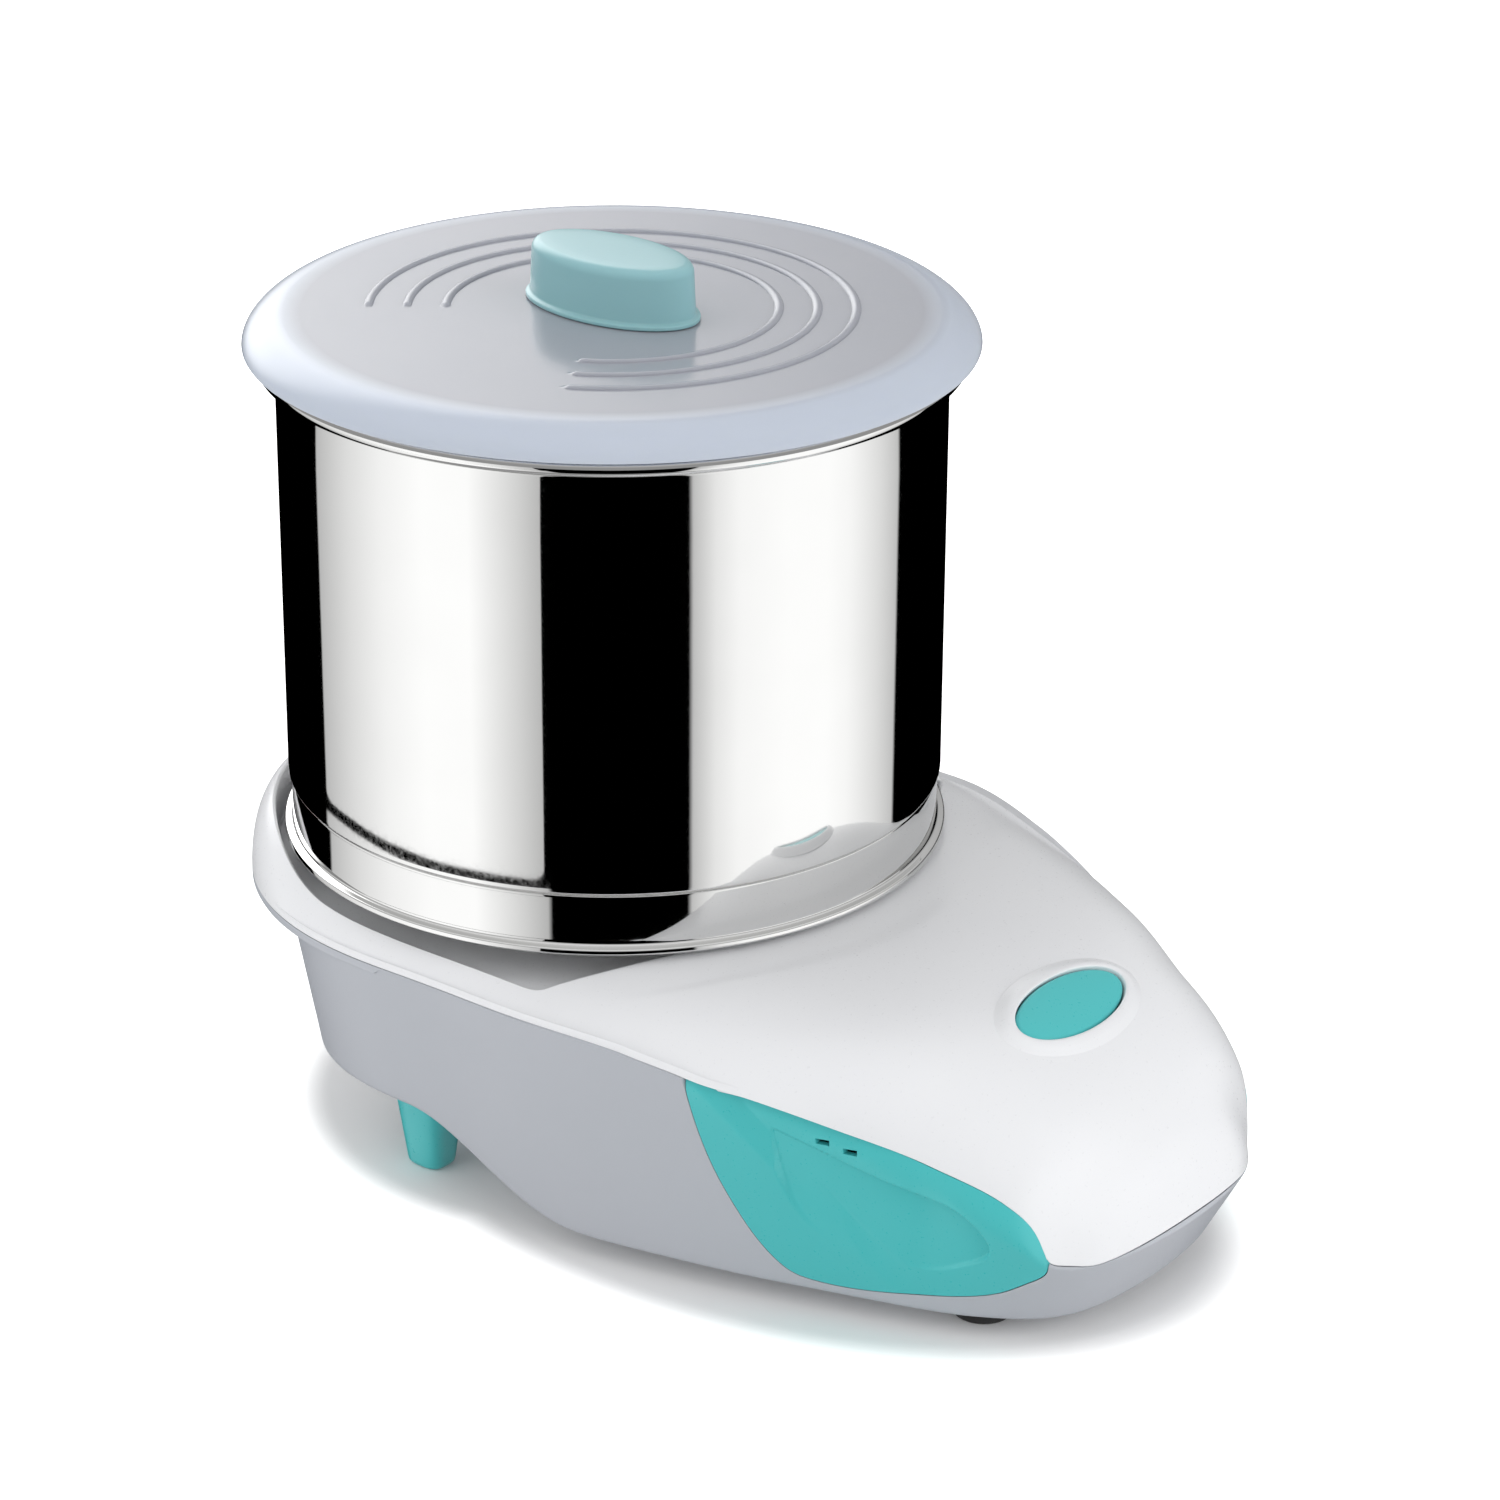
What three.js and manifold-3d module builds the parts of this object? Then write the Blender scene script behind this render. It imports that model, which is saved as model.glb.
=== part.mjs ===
// Table-top wet grinder: a lidded steel drum with a stone mill inside, on a moulded base.
// Millimetres, +Z up. The nose of the base points to -Y and the floor is z = 0.
// Heights are above the floor. Plan places are from the drum's axis, which the group moves.
import * as THREE from 'three';
import { mergeVertices } from 'three/addons/utils/BufferGeometryUtils.js';
import Module from 'manifold-3d';

const wasm = await Module();
wasm.setup();

// Driving dimensions

const fit = {
  seat: 0.3, // between two pieces at rest on each other
  running: 1, // round a turning piece
  overrun: 6, // by which a cut passes a face
};

const sides = {
  outlineFront: 40,
  outlineRear: 16,
  crown: 16,
  seamRear: 12,
  seamShare: 2, // steps in each share of the seam
  drum: 40,
  wheel: 28,
  round: 20,
  small: 8,
  floorStep: 14,
  deckEdge: 10,
  bead: 7,
  lidOuter: 7,
  lidInner: 5,
};
const halvings = 30; // rounds in which a height is closed in on
const unitNear = 1e-6; // closeness on a unit ball

const pan = {
  noseReach: 227, // drum axis to the front of the floor
  sideInset: 11, // of the floor's edge, from the drum's wall
  rearRoom: 7.3, // from the large pulley's track to the rear wall, at the belly's height
  floorHeight: 7, // underside of the front belly
  partingDrop: 1.5, // under the tray's floor, to the height that the side line's shares follow
  rearFloorHeight: 33.5, // underside of the raised rear floor
  stepRear: 2, // where the raised floor begins to fall, behind the axis
  stepFront: 70, // where it reaches the belly, ahead of the axis
  wall: 3,
  edge: 2.6, // rounding round the floor
  flange: 2.6, // thickness of the plate that closes the cover's overhang
};

// Lean of the walls, as the tangent of their angle to the vertical.
const leanShares = { side: 0.218, rear: 0.078, nose: 0.53 };

const cover = {
  overhang: 18, // of the rim over the floor's half width
  rearRoom: 5.5, // from the drum's wall to the tray's rear edge
  wall: 2.6,
  rimWidth: 8.5, // behind the drum
  frontRimWidth: 12, // at the tray's front corners
  splashRise: 9.5, // of the rim behind the drum, over the deck
  splashStart: 35, // where the rim begins to rise, behind the axis
  splashEnd: 92,
  trayRoom: 6.9, // between the large pulley and the tray
  deckRise: 10, // of the deck beside the drum, over the tray's floor
  deckInset: 11, // of the deck's rear edge under the drum's wall, on the centre line
  deckEdgeSweep: 40, // by which that edge runs back at the tray's corners
  tipHeight: 33, // of the deck's line at the tip of the nose
  collar: 2, // thickness of the collar round the hole for the hub
  collarRise: 3,
};

const panel = {
  thickness: 2.2,
  recess: 1.2,
  slotLength: 5,
  slotHeight: 2.4,
};

const foot = {
  inset: 16.5, // of its middle, from the floor's half width
  behind: 11.5,
  topLength: 22,
  topWidth: 22,
  endLength: 15,
  endWidth: 13,
  edge: 2,
};

const pad = { radius: 10, side: 42, ahead: 190 };

const button = {
  ahead: 190.6, // drum axis to the middle of the button
  rise: 0.6, // of its face over the deck
  halfWidth: 26,
  halfLength: 10.8,
  thickness: 5,
  edge: 1.2,
  gap: 0.5,
  ringWidth: 4.5,
  ringHeight: 1.5,
  ringDepth: 5,
  stemRadius: 4,
  stemLength: 8,
  travel: 2.5,
};
const buttonTilt = 25; // degrees, as the deck slopes there

const coil = { radius: 7, wall: 1.5 };

const starter = {
  width: 26,
  depth: 15,
  height: 11,
  earHeight: 2,
  postRadius: 2.2,
};

const drum = {
  radius: 110,
  wall: 1,
  stepRise: 0.7,
  neck: 3.1, // by which the shell is narrower inside the base ring
  height: 167.3, // from the base ring's underside to the middle of the rolled rim
  beadOffset: 3.8, // of that middle, outside the wall
  beadRadius: 3.2,
  floorThickness: 1.2,
};

const baseRing = {
  height: 20.5, // to the step in the drum's wall
  wall: 1.8,
  flangeReach: 3,
  flangeThickness: 1.7,
  flangeEdge: 1,
  lip: 6, // by which its floor reaches inwards
};

const coupling = { radius: 60 };
const peg = { radius: 4, orbit: 42, rise: 4 };
const tube = { bore: 9.5, wall: 1.5, rise: 66 }; // over the base stone
const baseStone = { height: 22, chamfer: 3 };

const shaft = { radius: 8, endRadius: 6, shoulderRise: 3.7, endLength: 17.3 };
const shaftBase = { radius: 34, thickness: 5, bossRadius: 17, bossDrop: 10 };
const bearing = { radius: 15, height: 8 };

const wheel = {
  radius: 70, // of the belt's track
  width: 14,
  rise: 3, // over the motor's fan
  rim: 6,
  web: 4,
  lip: 1.6, // by which its edges pass the track
  hubWall: 6.5,
  hubDrop: 0.8, // of its hub under the tray's floor
};

const hub = { radius: 56, rise: 4.5, thickness: 3.5, screwBite: 8 };
const seal = { wall: 3.4, height: 4.5 };

const motor = {
  ahead: 140, // drum axis to the motor's axis
  radius: 40,
  stand: 8, // over the pan's floor
  wall: 3,
  bellHeight: 11,
  stackHeight: 20,
  rotorRadius: 18,
  airGap: 0.7,
  windingInner: 22,
  windingOuter: 34,
  windingHeight: 6,
  shaftRadius: 4,
  bearingWall: 4,
  bearingDepth: 3,
  mountOrbit: 32,
  mountRadius: 5.5,
  mountRise: 3,
};

const fan = { radius: 28, hubRadius: 9, height: 5, rise: 1.4, bladeThickness: 2, disc: 1.2 };
const bladeCount = 8;

const pinion = { radius: 7, lip: 1.6, flange: 1.4 };
const belt = { thickness: 2.2, width: 10 };

const capacitor = { radius: 13, length: 46, inset: 37, ahead: 92, strap: 1.4, strapWidth: 9, ear: 8 };

const terminals = { width: 18, length: 32, height: 13, inset: 39, ahead: 92 };
const terminalWell = { radius: 2.4, depth: 6, spacing: 9 };
const terminalCount = 3;

const gland = { side: 38, rise: 21.5, radius: 7, bore: 3.6, flangeRadius: 10, flange: 2.5, inside: 8 };

const screw = { radius: 1.8, headRadius: 3.6, headHeight: 2.3, slot: 1 };
const boss = {
  radius: 5.5,
  frontSide: 60,
  frontAhead: 150,
  rearRoom: 17.2, // from the large pulley's track to the rear posts
  joint: 62, // height where the pan's posts meet the cover's
  bite: 12, // of the screws in the cover's posts
};
const rearBossTurn = 36.6; // degrees, from the axis across

const carrier = {
  wall: 4,
  capThickness: 5,
  axleBossRadius: 5.5,
  axleBossStart: 14,
  axleBossEnd: 27,
};

const roller = {
  innerReach: 30, // along its axis, from the drum's axis
  inset: 11.46, // of its outer edge from the base stone's
  rise: 0.4, // running gap over the base stone
  edge: 3,
};
const rollerAngle = 24; // degrees, between its axis and its side

const axle = { radius: 4, start: 18.5, capRadius: 8, capLength: 5 };
const bush = { wall: 3.2, stand: 0.6 };

const scraper = {
  thickness: 2.5,
  height: 56,
  inset: 9.6, // from the base stone's edge
  tipAside: 12,
  tipInset: 3.6,
  clampWall: 3.4,
  clampRise: 20, // over the base stone
  clampHeight: 20,
};

const knob = { radius: 14, height: 17, lobeRadius: 6.5, lobeOrbit: 13, edge: 2 };
const lobeCount = 3;

const lid = {
  overhang: 10.3, // past the drum's wall
  edgeRise: 0.2, // over the rolled rim
  shoulder: 13.7, // width of its rounded edge
  rise: 9.6, // of that edge
  wall: 2,
  spigotDrop: 4.8, // under the middle of the rolled rim
  spigotWall: 1.8,
  seatOffset: 3.4, // of the seat's middle, outside the drum's wall
  seatWidth: 2.4,
  ribWidth: 3,
  ribHeight: 0.8,
};
const ribRadii = [54.1, 66.6, 79.2];
const ribTurn = { start: 129, end: -149 }; // degrees round the lid

const handle = {
  halfLength: 32,
  halfWidth: 18,
  height: 19,
  draft: 0.8,
  edge: 3,
  flange: 1.5,
  flangeHeight: 1.5,
  wall: 2.4,
};

// Reaches and heights that follow from these sizes

const halfAngle = THREE.MathUtils.degToRad(rollerAngle);
const buttonAngle = THREE.MathUtils.degToRad(buttonTilt);

const floorHalfWidth = drum.radius - pan.sideInset;
const floorRearReach = wheel.radius + pan.rearRoom;
const rimHalfWidth = floorHalfWidth + cover.overhang;
const rimRearReach = drum.radius + cover.rearRoom + cover.rimWidth;
const deckRearEdge = drum.radius - cover.deckInset;

const panFloorTop = pan.floorHeight + pan.wall;
const rearFloorTop = pan.rearFloorHeight + pan.wall;
const motorBottom = panFloorTop + motor.stand;
const stackBottom = motorBottom + motor.bellHeight + fit.seat;
const stackTop = stackBottom + motor.stackHeight;
const upperBellBottom = stackTop + fit.seat;
const upperBellTop = upperBellBottom + motor.bellHeight;
const fanBottom = upperBellTop + fan.rise;
const wheelBottom = fanBottom + fan.height + wheel.rise;
const wheelTop = wheelBottom + wheel.width;
const shaftBossTop = wheelBottom - shaftBase.bossDrop;

const trayHeight = wheelTop + cover.trayRoom + cover.wall;
const trayUnder = trayHeight - cover.wall;
const partingFullHeight = trayHeight - pan.partingDrop;
const deckHeight = trayHeight + cover.deckRise;
const splashHeight = deckHeight + cover.splashRise;

const wheelBore = bearing.radius + fit.seat;
const wheelHub = wheelBore + wheel.hubWall;
const wheelHubTop = trayHeight - wheel.hubDrop;
const driveOpening = wheelHub + fit.running + seal.wall + fit.seat;
const hubBottom = trayHeight + hub.rise;
const hubTop = hubBottom + hub.thickness;
const hubScrewOrbit = wheelBore + wheel.hubWall / 2;

const ringBottom = deckHeight + fit.running;
const ringFloorTop = ringBottom + baseRing.flangeThickness;
const stepHeight = ringBottom + baseRing.height;
const drumFloor = ringFloorTop + fit.seat;
const drumFloorTop = drumFloor + drum.floorThickness;
const beadHeight = ringBottom + drum.height;
const beadTop = beadHeight + drum.beadRadius;
const neckRadius = drum.radius - drum.neck;
const ringInner = neckRadius + fit.seat;
const ringRadius = ringInner + baseRing.wall;

const tubeRadius = tube.bore + tube.wall;
const stoneRadius = neckRadius - drum.wall - fit.seat;
const stoneBottom = drumFloorTop + fit.seat;
const stoneTop = stoneBottom + baseStone.height;
const tubeTop = stoneTop + tube.rise;
const shaftShoulder = tubeTop + shaft.shoulderRise;
const shaftTop = shaftShoulder + shaft.endLength;
const rollerReach = (stoneRadius - roller.inset) * Math.cos(halfAngle);
const apex = stoneTop + roller.rise;

const lidRadius = drum.radius + lid.overhang;
const plateauRadius = lidRadius - lid.shoulder;
const lidEdgeHeight = beadTop + lid.edgeRise;
const plateauHeight = lidEdgeHeight + lid.rise;
const glandHeight = rearFloorTop + gland.rise;

// Shares of the sizes above, chosen by eye

// Half outline of the floor ahead of the axis: along its reach, half width.
const outlineShares = [
  [0, 1],
  [0.15, 1],
  [0.28, 1],
  [0.414, 0.942],
  [0.564, 0.85],
  [0.705, 0.742],
  [0.846, 0.622],
  [0.903, 0.547],
  [0.942, 0.478],
  [0.976, 0.37],
  [0.995, 0.19],
];
const rearPower = 2.75;
const rimPower = 2.15;
const noseLeanStartShare = 0.8;

// Side line, up to which the walls lean out and above which the deck's shoulder turns in: along the
// nose, height.
const partingShares = [
  [-0.53, 0.935],
  [-0.25, 0.951],
  [0, 0.974],
  [0.15, 0.982],
  [0.3, 0.984],
  [0.4, 0.957],
  [0.486, 0.914],
  [0.587, 0.838],
  [0.69, 0.725],
  [0.76, 0.655],
  [0.826, 0.596],
  [0.885, 0.508],
  [0.918, 0.432],
  [0.935, 0.37],
  [0.965, 0.352],
  [1, 0.359],
];

// Seam between cover and pan, ahead of the axis: along the nose, height. It runs along the side line
// to the side panel, then above it over the panel, and drops at the panel's tip.
const seamShares = [
  [0.4, 0.957],
  [0.486, 0.914],
  [0.515, 0.897],
  [0.55, 0.881],
  [0.619, 0.839],
  [0.687, 0.791],
  [0.754, 0.741],
  [0.789, 0.711],
  [0.826, 0.682],
  [0.86, 0.647],
  [0.894, 0.59],
  [0.91, 0.545],
  [0.92, 0.494],
  [0.926, 0.445],
  [0.931, 0.398],
  [0.939, 0.371],
  [0.953, 0.36],
  [0.968, 0.352],
  [0.983, 0.361],
  [1, 0.378],
];

// Centre line of the deck: along the nose, height between tip and deck.
const crownShares = [
  [0.3, 1],
  [0.467, 0.997],
  [0.62, 0.955],
  [0.723, 0.91],
  [0.7915, 0.848],
  [0.85, 0.75],
  [0.909, 0.59],
  [0.955, 0.39],
  [0.985, 0.19],
  [1, 0],
];

// Section of the deck: along the nose, powers of the half width and of the rise.
const shoulderPowers = [
  [-0.6, 26, 2],
  [-0.4, 24, 1.9],
  [-0.25, 15, 1.3],
  [0, 12, 1],
  [0.15, 9, 0.9],
  [0.25, 7.2, 0.8],
  [0.41, 7, 0.6],
  [0.5, 6, 0.8],
  [0.58, 5.5, 1.1],
  [0.65, 5.5, 1.35],
  [0.69, 5.2, 1.5],
  [0.76, 4.3, 1.5],
  [0.82, 3.8, 1.5],
  [0.9, 3.6, 1.5],
  [1, 2.8, 1.5],
];

// Side panel's outline on the wall: along the nose, height over the parting height.
const panelShares = [
  [0.493, 0.763],
  [0.511, 0.534],
  [0.53, 0.398],
  [0.559, 0.247],
  [0.576, 0.189],
  [0.595, 0.149],
  [0.621, 0.132],
  [0.665, 0.127],
  [0.741, 0.148],
  [0.815, 0.18],
  [0.868, 0.226],
  [0.902, 0.285],
  [0.923, 0.33],
];
const panelRearShare = 0.487;
const panelTipShare = 0.932;
const panelMiddleShares = [0.7, 0.5];

// Shallow finger recess in the panel, in the same shares.
const recessShares = [
  [0.585, 0.78],
  [0.69, 0.675],
  [0.77, 0.61],
  [0.84, 0.55],
  [0.864, 0.47],
  [0.866, 0.4],
  [0.835, 0.33],
  [0.786, 0.275],
  [0.72, 0.27],
  [0.66, 0.3],
  [0.62, 0.4],
  [0.595, 0.56],
];
const slotShares = [[0.66, 0.752], [0.694, 0.74]];

const stepShares = [0.32, 0.53];
const roundingShares = { pan: [0.25, 0.3], button: [0.4, 0.4], handle: [0.3, 0.3] }; // height, inset
const handleLipShare = 0.7; // of the flange's height, to its sharp corner
const beadTurnShares = [-0.78, 0.85]; // of half a turn, where the rolled rim starts and ends
const lidPower = 1.7;
const footPower = 3;

// Solids and profiles

function solid(geometry) {
  const bare = geometry.clone();
  bare.deleteAttribute('normal');
  bare.deleteAttribute('uv');
  const merged = mergeVertices(bare);
  return new wasm.Manifold(new wasm.Mesh({
    numProp: 3,
    vertProperties: Float32Array.from(merged.attributes.position.array),
    triVerts: Uint32Array.from(merged.index.array),
  }));
}

function geometryOf(body) {
  const mesh = body.getMesh();
  const geometry = new THREE.BufferGeometry();
  geometry.setAttribute('position', new THREE.BufferAttribute(mesh.vertProperties, 3));
  geometry.setIndex(new THREE.BufferAttribute(mesh.triVerts, 1));
  geometry.computeVertexNormals();
  return geometry;
}

function joined(geometries) {
  return geometries.map(solid).reduce((whole, body) => whole.add(body));
}

function cut(body, geometries) {
  return geometries.map(solid).reduce((whole, tool) => whole.subtract(tool), body);
}

// A closed profile of [radius, height] points, turned round the Z axis.
function turned(points, count = sides.round) {
  const profile = points.map(([radius, height]) => new THREE.Vector2(radius, height));
  return new THREE.LatheGeometry(profile, count).rotateX(Math.PI / 2);
}

function turnedRing(inner, outer, bottom, top, count) {
  return turned([[inner, bottom], [outer, bottom], [outer, top], [inner, top], [inner, bottom]], count);
}

function turnedDisc(radius, bottom, top, count) {
  return turned([[0, bottom], [radius, bottom], [radius, top], [0, top]], count);
}

function post(radius, x, y, bottom, top) {
  return turnedDisc(radius, bottom, top, sides.small).translate(x, y, 0);
}

// A plan outline of [x, y] points, drawn up from one height to another.
function raised(points, bottom, top) {
  const shape = new THREE.Shape(points.map(([x, y]) => new THREE.Vector2(x, y)));
  const geometry = new THREE.ExtrudeGeometry(shape, { depth: top - bottom, bevelEnabled: false });
  return geometry.translate(0, 0, bottom);
}

// A side outline of [y, z] points, drawn across from one x to another.
function across(points, left, right) {
  const shape = new THREE.Shape(points.map(([y, z]) => new THREE.Vector2(y, z)));
  const geometry = new THREE.ExtrudeGeometry(shape, { depth: right - left, bevelEnabled: false });
  return geometry.rotateX(Math.PI / 2).rotateZ(Math.PI / 2).translate(left, 0, 0);
}

function block(width, length, height, x, y, bottom) {
  return new THREE.BoxGeometry(width, length, height).translate(x, y, bottom + height / 2);
}

// Points of a superellipse: power 2 is an ellipse, a higher power is squarer.
function superArc(halfWidth, halfLength, power, from, to, steps) {
  return Array.from({ length: steps + 1 }, (_, step) => {
    const angle = from + (to - from) * step / steps;
    const aside = Math.sign(Math.cos(angle)) * Math.abs(Math.cos(angle)) ** (2 / power);
    const along = Math.sign(Math.sin(angle)) * Math.abs(Math.sin(angle)) ** (2 / power);
    return [halfWidth * aside, halfLength * along];
  });
}

function oval(halfWidth, halfLength, power = 2, count = sides.round) {
  return superArc(halfWidth, halfLength, power, 0, 2 * Math.PI, count).slice(0, -1);
}

// Smooth value at a key, from rows of rising keys.
function smoothTable(rows, column = 1) {
  const keys = rows.map((row) => row[0]);
  const values = rows.map((row) => row[column]);
  const curve = new THREE.CubicInterpolant(keys, values, 1, new Float32Array(1));
  return (key) => curve.evaluate(THREE.MathUtils.clamp(key, keys[0], keys[keys.length - 1]))[0];
}

// Place on a ring of points for a point of a unit shape.
function ringPlace(point, count) {
  const turn = Math.atan2(point.y, point.x) / (2 * Math.PI);
  return (Math.round(turn * count) + count) % count;
}

// A unit cylinder drawn onto rings of plan points, one ring for each height.
function lofted(rings, heights) {
  const levels = heights.length - 1;
  const count = rings[0].length;
  const geometry = new THREE.CylinderGeometry(1, 1, 1, count, levels)
    .rotateX(Math.PI / 2).rotateZ(Math.PI / 2);
  const position = geometry.attributes.position;
  const point = new THREE.Vector3();
  for (let index = 0; index < position.count; index += 1) {
    point.fromBufferAttribute(position, index);
    const level = Math.round((point.z + 0.5) * levels);
    const spread = Math.hypot(point.x, point.y) > 0.5 ? 1 : 0;
    const [x, y] = rings[level][ringPlace(point, count)];
    position.setXYZ(index, spread * x, spread * y, heights[level]);
  }
  return geometry;
}

// Surfaces of the base

const noseTip = pan.noseReach + leanShares.nose * (cover.tipHeight - pan.floorHeight);
const farSide = rimHalfWidth + fit.overrun;
const farRear = rimRearReach + fit.overrun;
const farFront = -noseTip - fit.overrun;
const farTop = splashHeight + fit.overrun;

const partingTable = smoothTable(partingShares);
const seamTable = smoothTable(seamShares);
const crownTable = smoothTable(crownShares);
const widthPowerTable = smoothTable(shoulderPowers);
const risePowerTable = smoothTable(shoulderPowers, 2);

function noseShare(y) {
  return -y / noseTip;
}

function partingHeight(y) {
  return partingTable(noseShare(y)) * partingFullHeight;
}

function seamHeight(y) {
  const table = noseShare(y) < seamShares[0][0] ? partingTable : seamTable;
  return table(noseShare(y)) * partingFullHeight;
}

function crownHeight(y) {
  const splash = THREE.MathUtils.smoothstep(y, cover.splashStart, cover.splashEnd);
  if (y > 0) return THREE.MathUtils.lerp(deckHeight, splashHeight, splash);
  return THREE.MathUtils.lerp(cover.tipHeight, deckHeight, crownTable(noseShare(y)));
}

function floorCurve() {
  const left = outlineShares.map(([along, aside]) => (
    new THREE.Vector2(-aside * floorHalfWidth, -along * pan.noseReach)));
  const tip = new THREE.Vector2(0, -pan.noseReach);
  const right = left.map((point) => new THREE.Vector2(-point.x, point.y)).reverse();
  return new THREE.SplineCurve([...left, tip, ...right]);
}

const frontCurve = floorCurve();

// Places and outward directions of the floor's outline, from -X round the nose to +X.
const frontRing = Array.from({ length: sides.outlineFront }, (_, step) => {
  const place = step / sides.outlineFront;
  const point = frontCurve.getPoint(place);
  const tangent = frontCurve.getTangent(place);
  const blend = THREE.MathUtils.smoothstep(-point.y / pan.noseReach, noseLeanStartShare, 1);
  const outward = step === 0 ? new THREE.Vector2(-1, 0) : new THREE.Vector2(tangent.y, -tangent.x);
  return { point, outward, lean: THREE.MathUtils.lerp(leanShares.side, leanShares.nose, blend) };
});

function frontPoint({ point, outward, lean }, height, inset) {
  const spread = lean * (height - pan.floorHeight) - inset;
  return [point.x + outward.x * spread, point.y + outward.y * spread];
}

// Plan outline of the pan's wall at one height, from -X round the nose and back by the rear.
function panOutline(height, inset = 0) {
  const rise = height - pan.floorHeight;
  const halfWidth = floorHalfWidth + leanShares.side * rise - inset;
  const reach = floorRearReach + leanShares.rear * rise - inset;
  const rear = superArc(halfWidth, reach, rearPower, 0, Math.PI, sides.outlineRear).slice(0, -1);
  return [...frontRing.map((place) => frontPoint(place, height, inset)), ...rear];
}

// Height at which one place of the wall meets the side line.
function wallTop(place) {
  let low = pan.floorHeight;
  let high = deckHeight;
  for (let round = 0; round < halvings; round += 1) {
    const middle = (low + high) / 2;
    if (middle < partingHeight(frontPoint(place, middle, 0)[1])) low = middle;
    else high = middle;
  }
  return low;
}

const wallTops = frontRing.map(wallTop);

// Widest line of the base: it follows the wall along the side line, and the rim behind.
function coverEdge(inset = 0) {
  const front = frontRing.map((place, step) => (
    [...frontPoint(place, wallTops[step], inset), wallTops[step]]));
  const rim = superArc(rimHalfWidth - inset, rimRearReach - inset, rimPower, 0, Math.PI,
    sides.outlineRear).slice(0, -1);
  return [...front, ...rim.map(([x, y]) => [x, y, partingHeight(y)])];
}

// Half width of an edge at one distance ahead of the axis.
function edgeWidth(edge, y) {
  const half = edge.slice(0, sides.outlineFront / 2 + 1);
  const next = half.findIndex((point) => point[1] <= y);
  if (next === -1) return 0;
  if (next === 0) return -half[0][0];
  const [x0, y0] = half[next - 1];
  const [x1, y1] = half[next];
  return -THREE.MathUtils.lerp(x0, x1, (y - y0) / (y1 - y0));
}

// Share of the full rise of the deck at one place: round the rim, and across the nose.
function deckArch(edge, x, y, spread) {
  const share = noseShare(y);
  const widthPower = widthPowerTable(share);
  const risePower = risePowerTable(share);
  const halfWidth = edgeWidth(edge, y);
  const across = Math.min(1, halfWidth > 0 ? Math.abs(x) / halfWidth : 1);
  const blend = THREE.MathUtils.smoothstep(share, 0, crownShares[0][0]);
  const round = Math.max(0, 1 - spread ** widthPower) ** (1 / risePower);
  const nose = Math.max(0, 1 - across ** widthPower) ** (1 / risePower);
  return THREE.MathUtils.lerp(round, nose, blend);
}

// A unit ball drawn onto the cover: its upper half is the deck, its lower half lies far below.
function crowned(inset, drop) {
  const edge = coverEdge(inset);
  const geometry = new THREE.SphereGeometry(1, edge.length, sides.crown).rotateX(Math.PI / 2);
  const position = geometry.attributes.position;
  const point = new THREE.Vector3();
  for (let index = 0; index < position.count; index += 1) {
    point.fromBufferAttribute(position, index);
    const spread = Math.min(1, Math.hypot(point.x, point.y));
    const [edgeX, edgeY, edgeZ] = edge[ringPlace(point, edge.length)];
    const x = spread * edgeX;
    const y = spread * edgeY;
    const onEdge = spread > 1 - unitNear;
    const base = onEdge ? edgeZ : partingHeight(y);
    const arch = onEdge ? 0 : deckArch(edge, x, y, spread);
    const deck = THREE.MathUtils.lerp(base, crownHeight(y), arch) - drop * arch;
    position.setXYZ(index, x, y, point.z > -unitNear ? deck : base - partingFullHeight);
  }
  return geometry;
}

// Places from the rear to the nose at which the seam is drawn, closer where it bends.
function seamPlaces() {
  const firstFront = -seamShares[0][0] * noseTip;
  const rear = Array.from({ length: sides.seamRear }, (_, step) => (
    THREE.MathUtils.lerp(farRear, firstFront, step / sides.seamRear)));
  const front = seamShares.slice(1).flatMap(([share], index) => (
    Array.from({ length: sides.seamShare }, (_, step) => {
      const start = seamShares[index][0];
      return -noseTip * THREE.MathUtils.lerp(start, share, step / sides.seamShare);
    })));
  return [...rear, ...front, -noseTip, farFront];
}

// The seam from the side, shifted up or down, from the rear to the nose.
function seamLine(shift) {
  return seamPlaces().map((y) => [y, seamHeight(y) + shift]);
}

// Side line of the floor, from the raised rear down to the belly.
function floorLine(rise, advance) {
  const run = pan.stepRear + pan.stepFront;
  const start = pan.stepRear - advance;
  const high = pan.rearFloorHeight + rise;
  const low = pan.floorHeight + rise;
  const curve = new THREE.CubicBezierCurve(
    new THREE.Vector2(start, high),
    new THREE.Vector2(start - run * stepShares[0], high),
    new THREE.Vector2(start - run * stepShares[1], low),
    new THREE.Vector2(start - run, low),
  );
  return curve.getPoints(sides.floorStep).map((point) => [point.x, point.y]);
}

// Places that several pieces share

const rearBossOrbit = wheel.radius + boss.rearRoom;
const rearBossX = rearBossOrbit * Math.cos(THREE.MathUtils.degToRad(rearBossTurn));
const rearBossY = rearBossOrbit * Math.sin(THREE.MathUtils.degToRad(rearBossTurn));

const caseScrews = [-1, 1].flatMap((side) => [
  { x: side * boss.frontSide, y: -boss.frontAhead, under: pan.floorHeight },
  { x: side * rearBossX, y: rearBossY, under: pan.rearFloorHeight },
]);

const motorScrews = [0, 1, 2].map((turn) => {
  const angle = Math.PI / 2 + turn * 2 * Math.PI / 3;
  return {
    x: motor.mountOrbit * Math.cos(angle),
    y: motor.mountOrbit * Math.sin(angle) - motor.ahead,
    under: pan.floorHeight,
  };
});

const hubScrews = [0, 1, 2].map((turn) => {
  const angle = Math.PI / 2 + turn * 2 * Math.PI / 3;
  return { x: hubScrewOrbit * Math.cos(angle), y: hubScrewOrbit * Math.sin(angle) };
});

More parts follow.
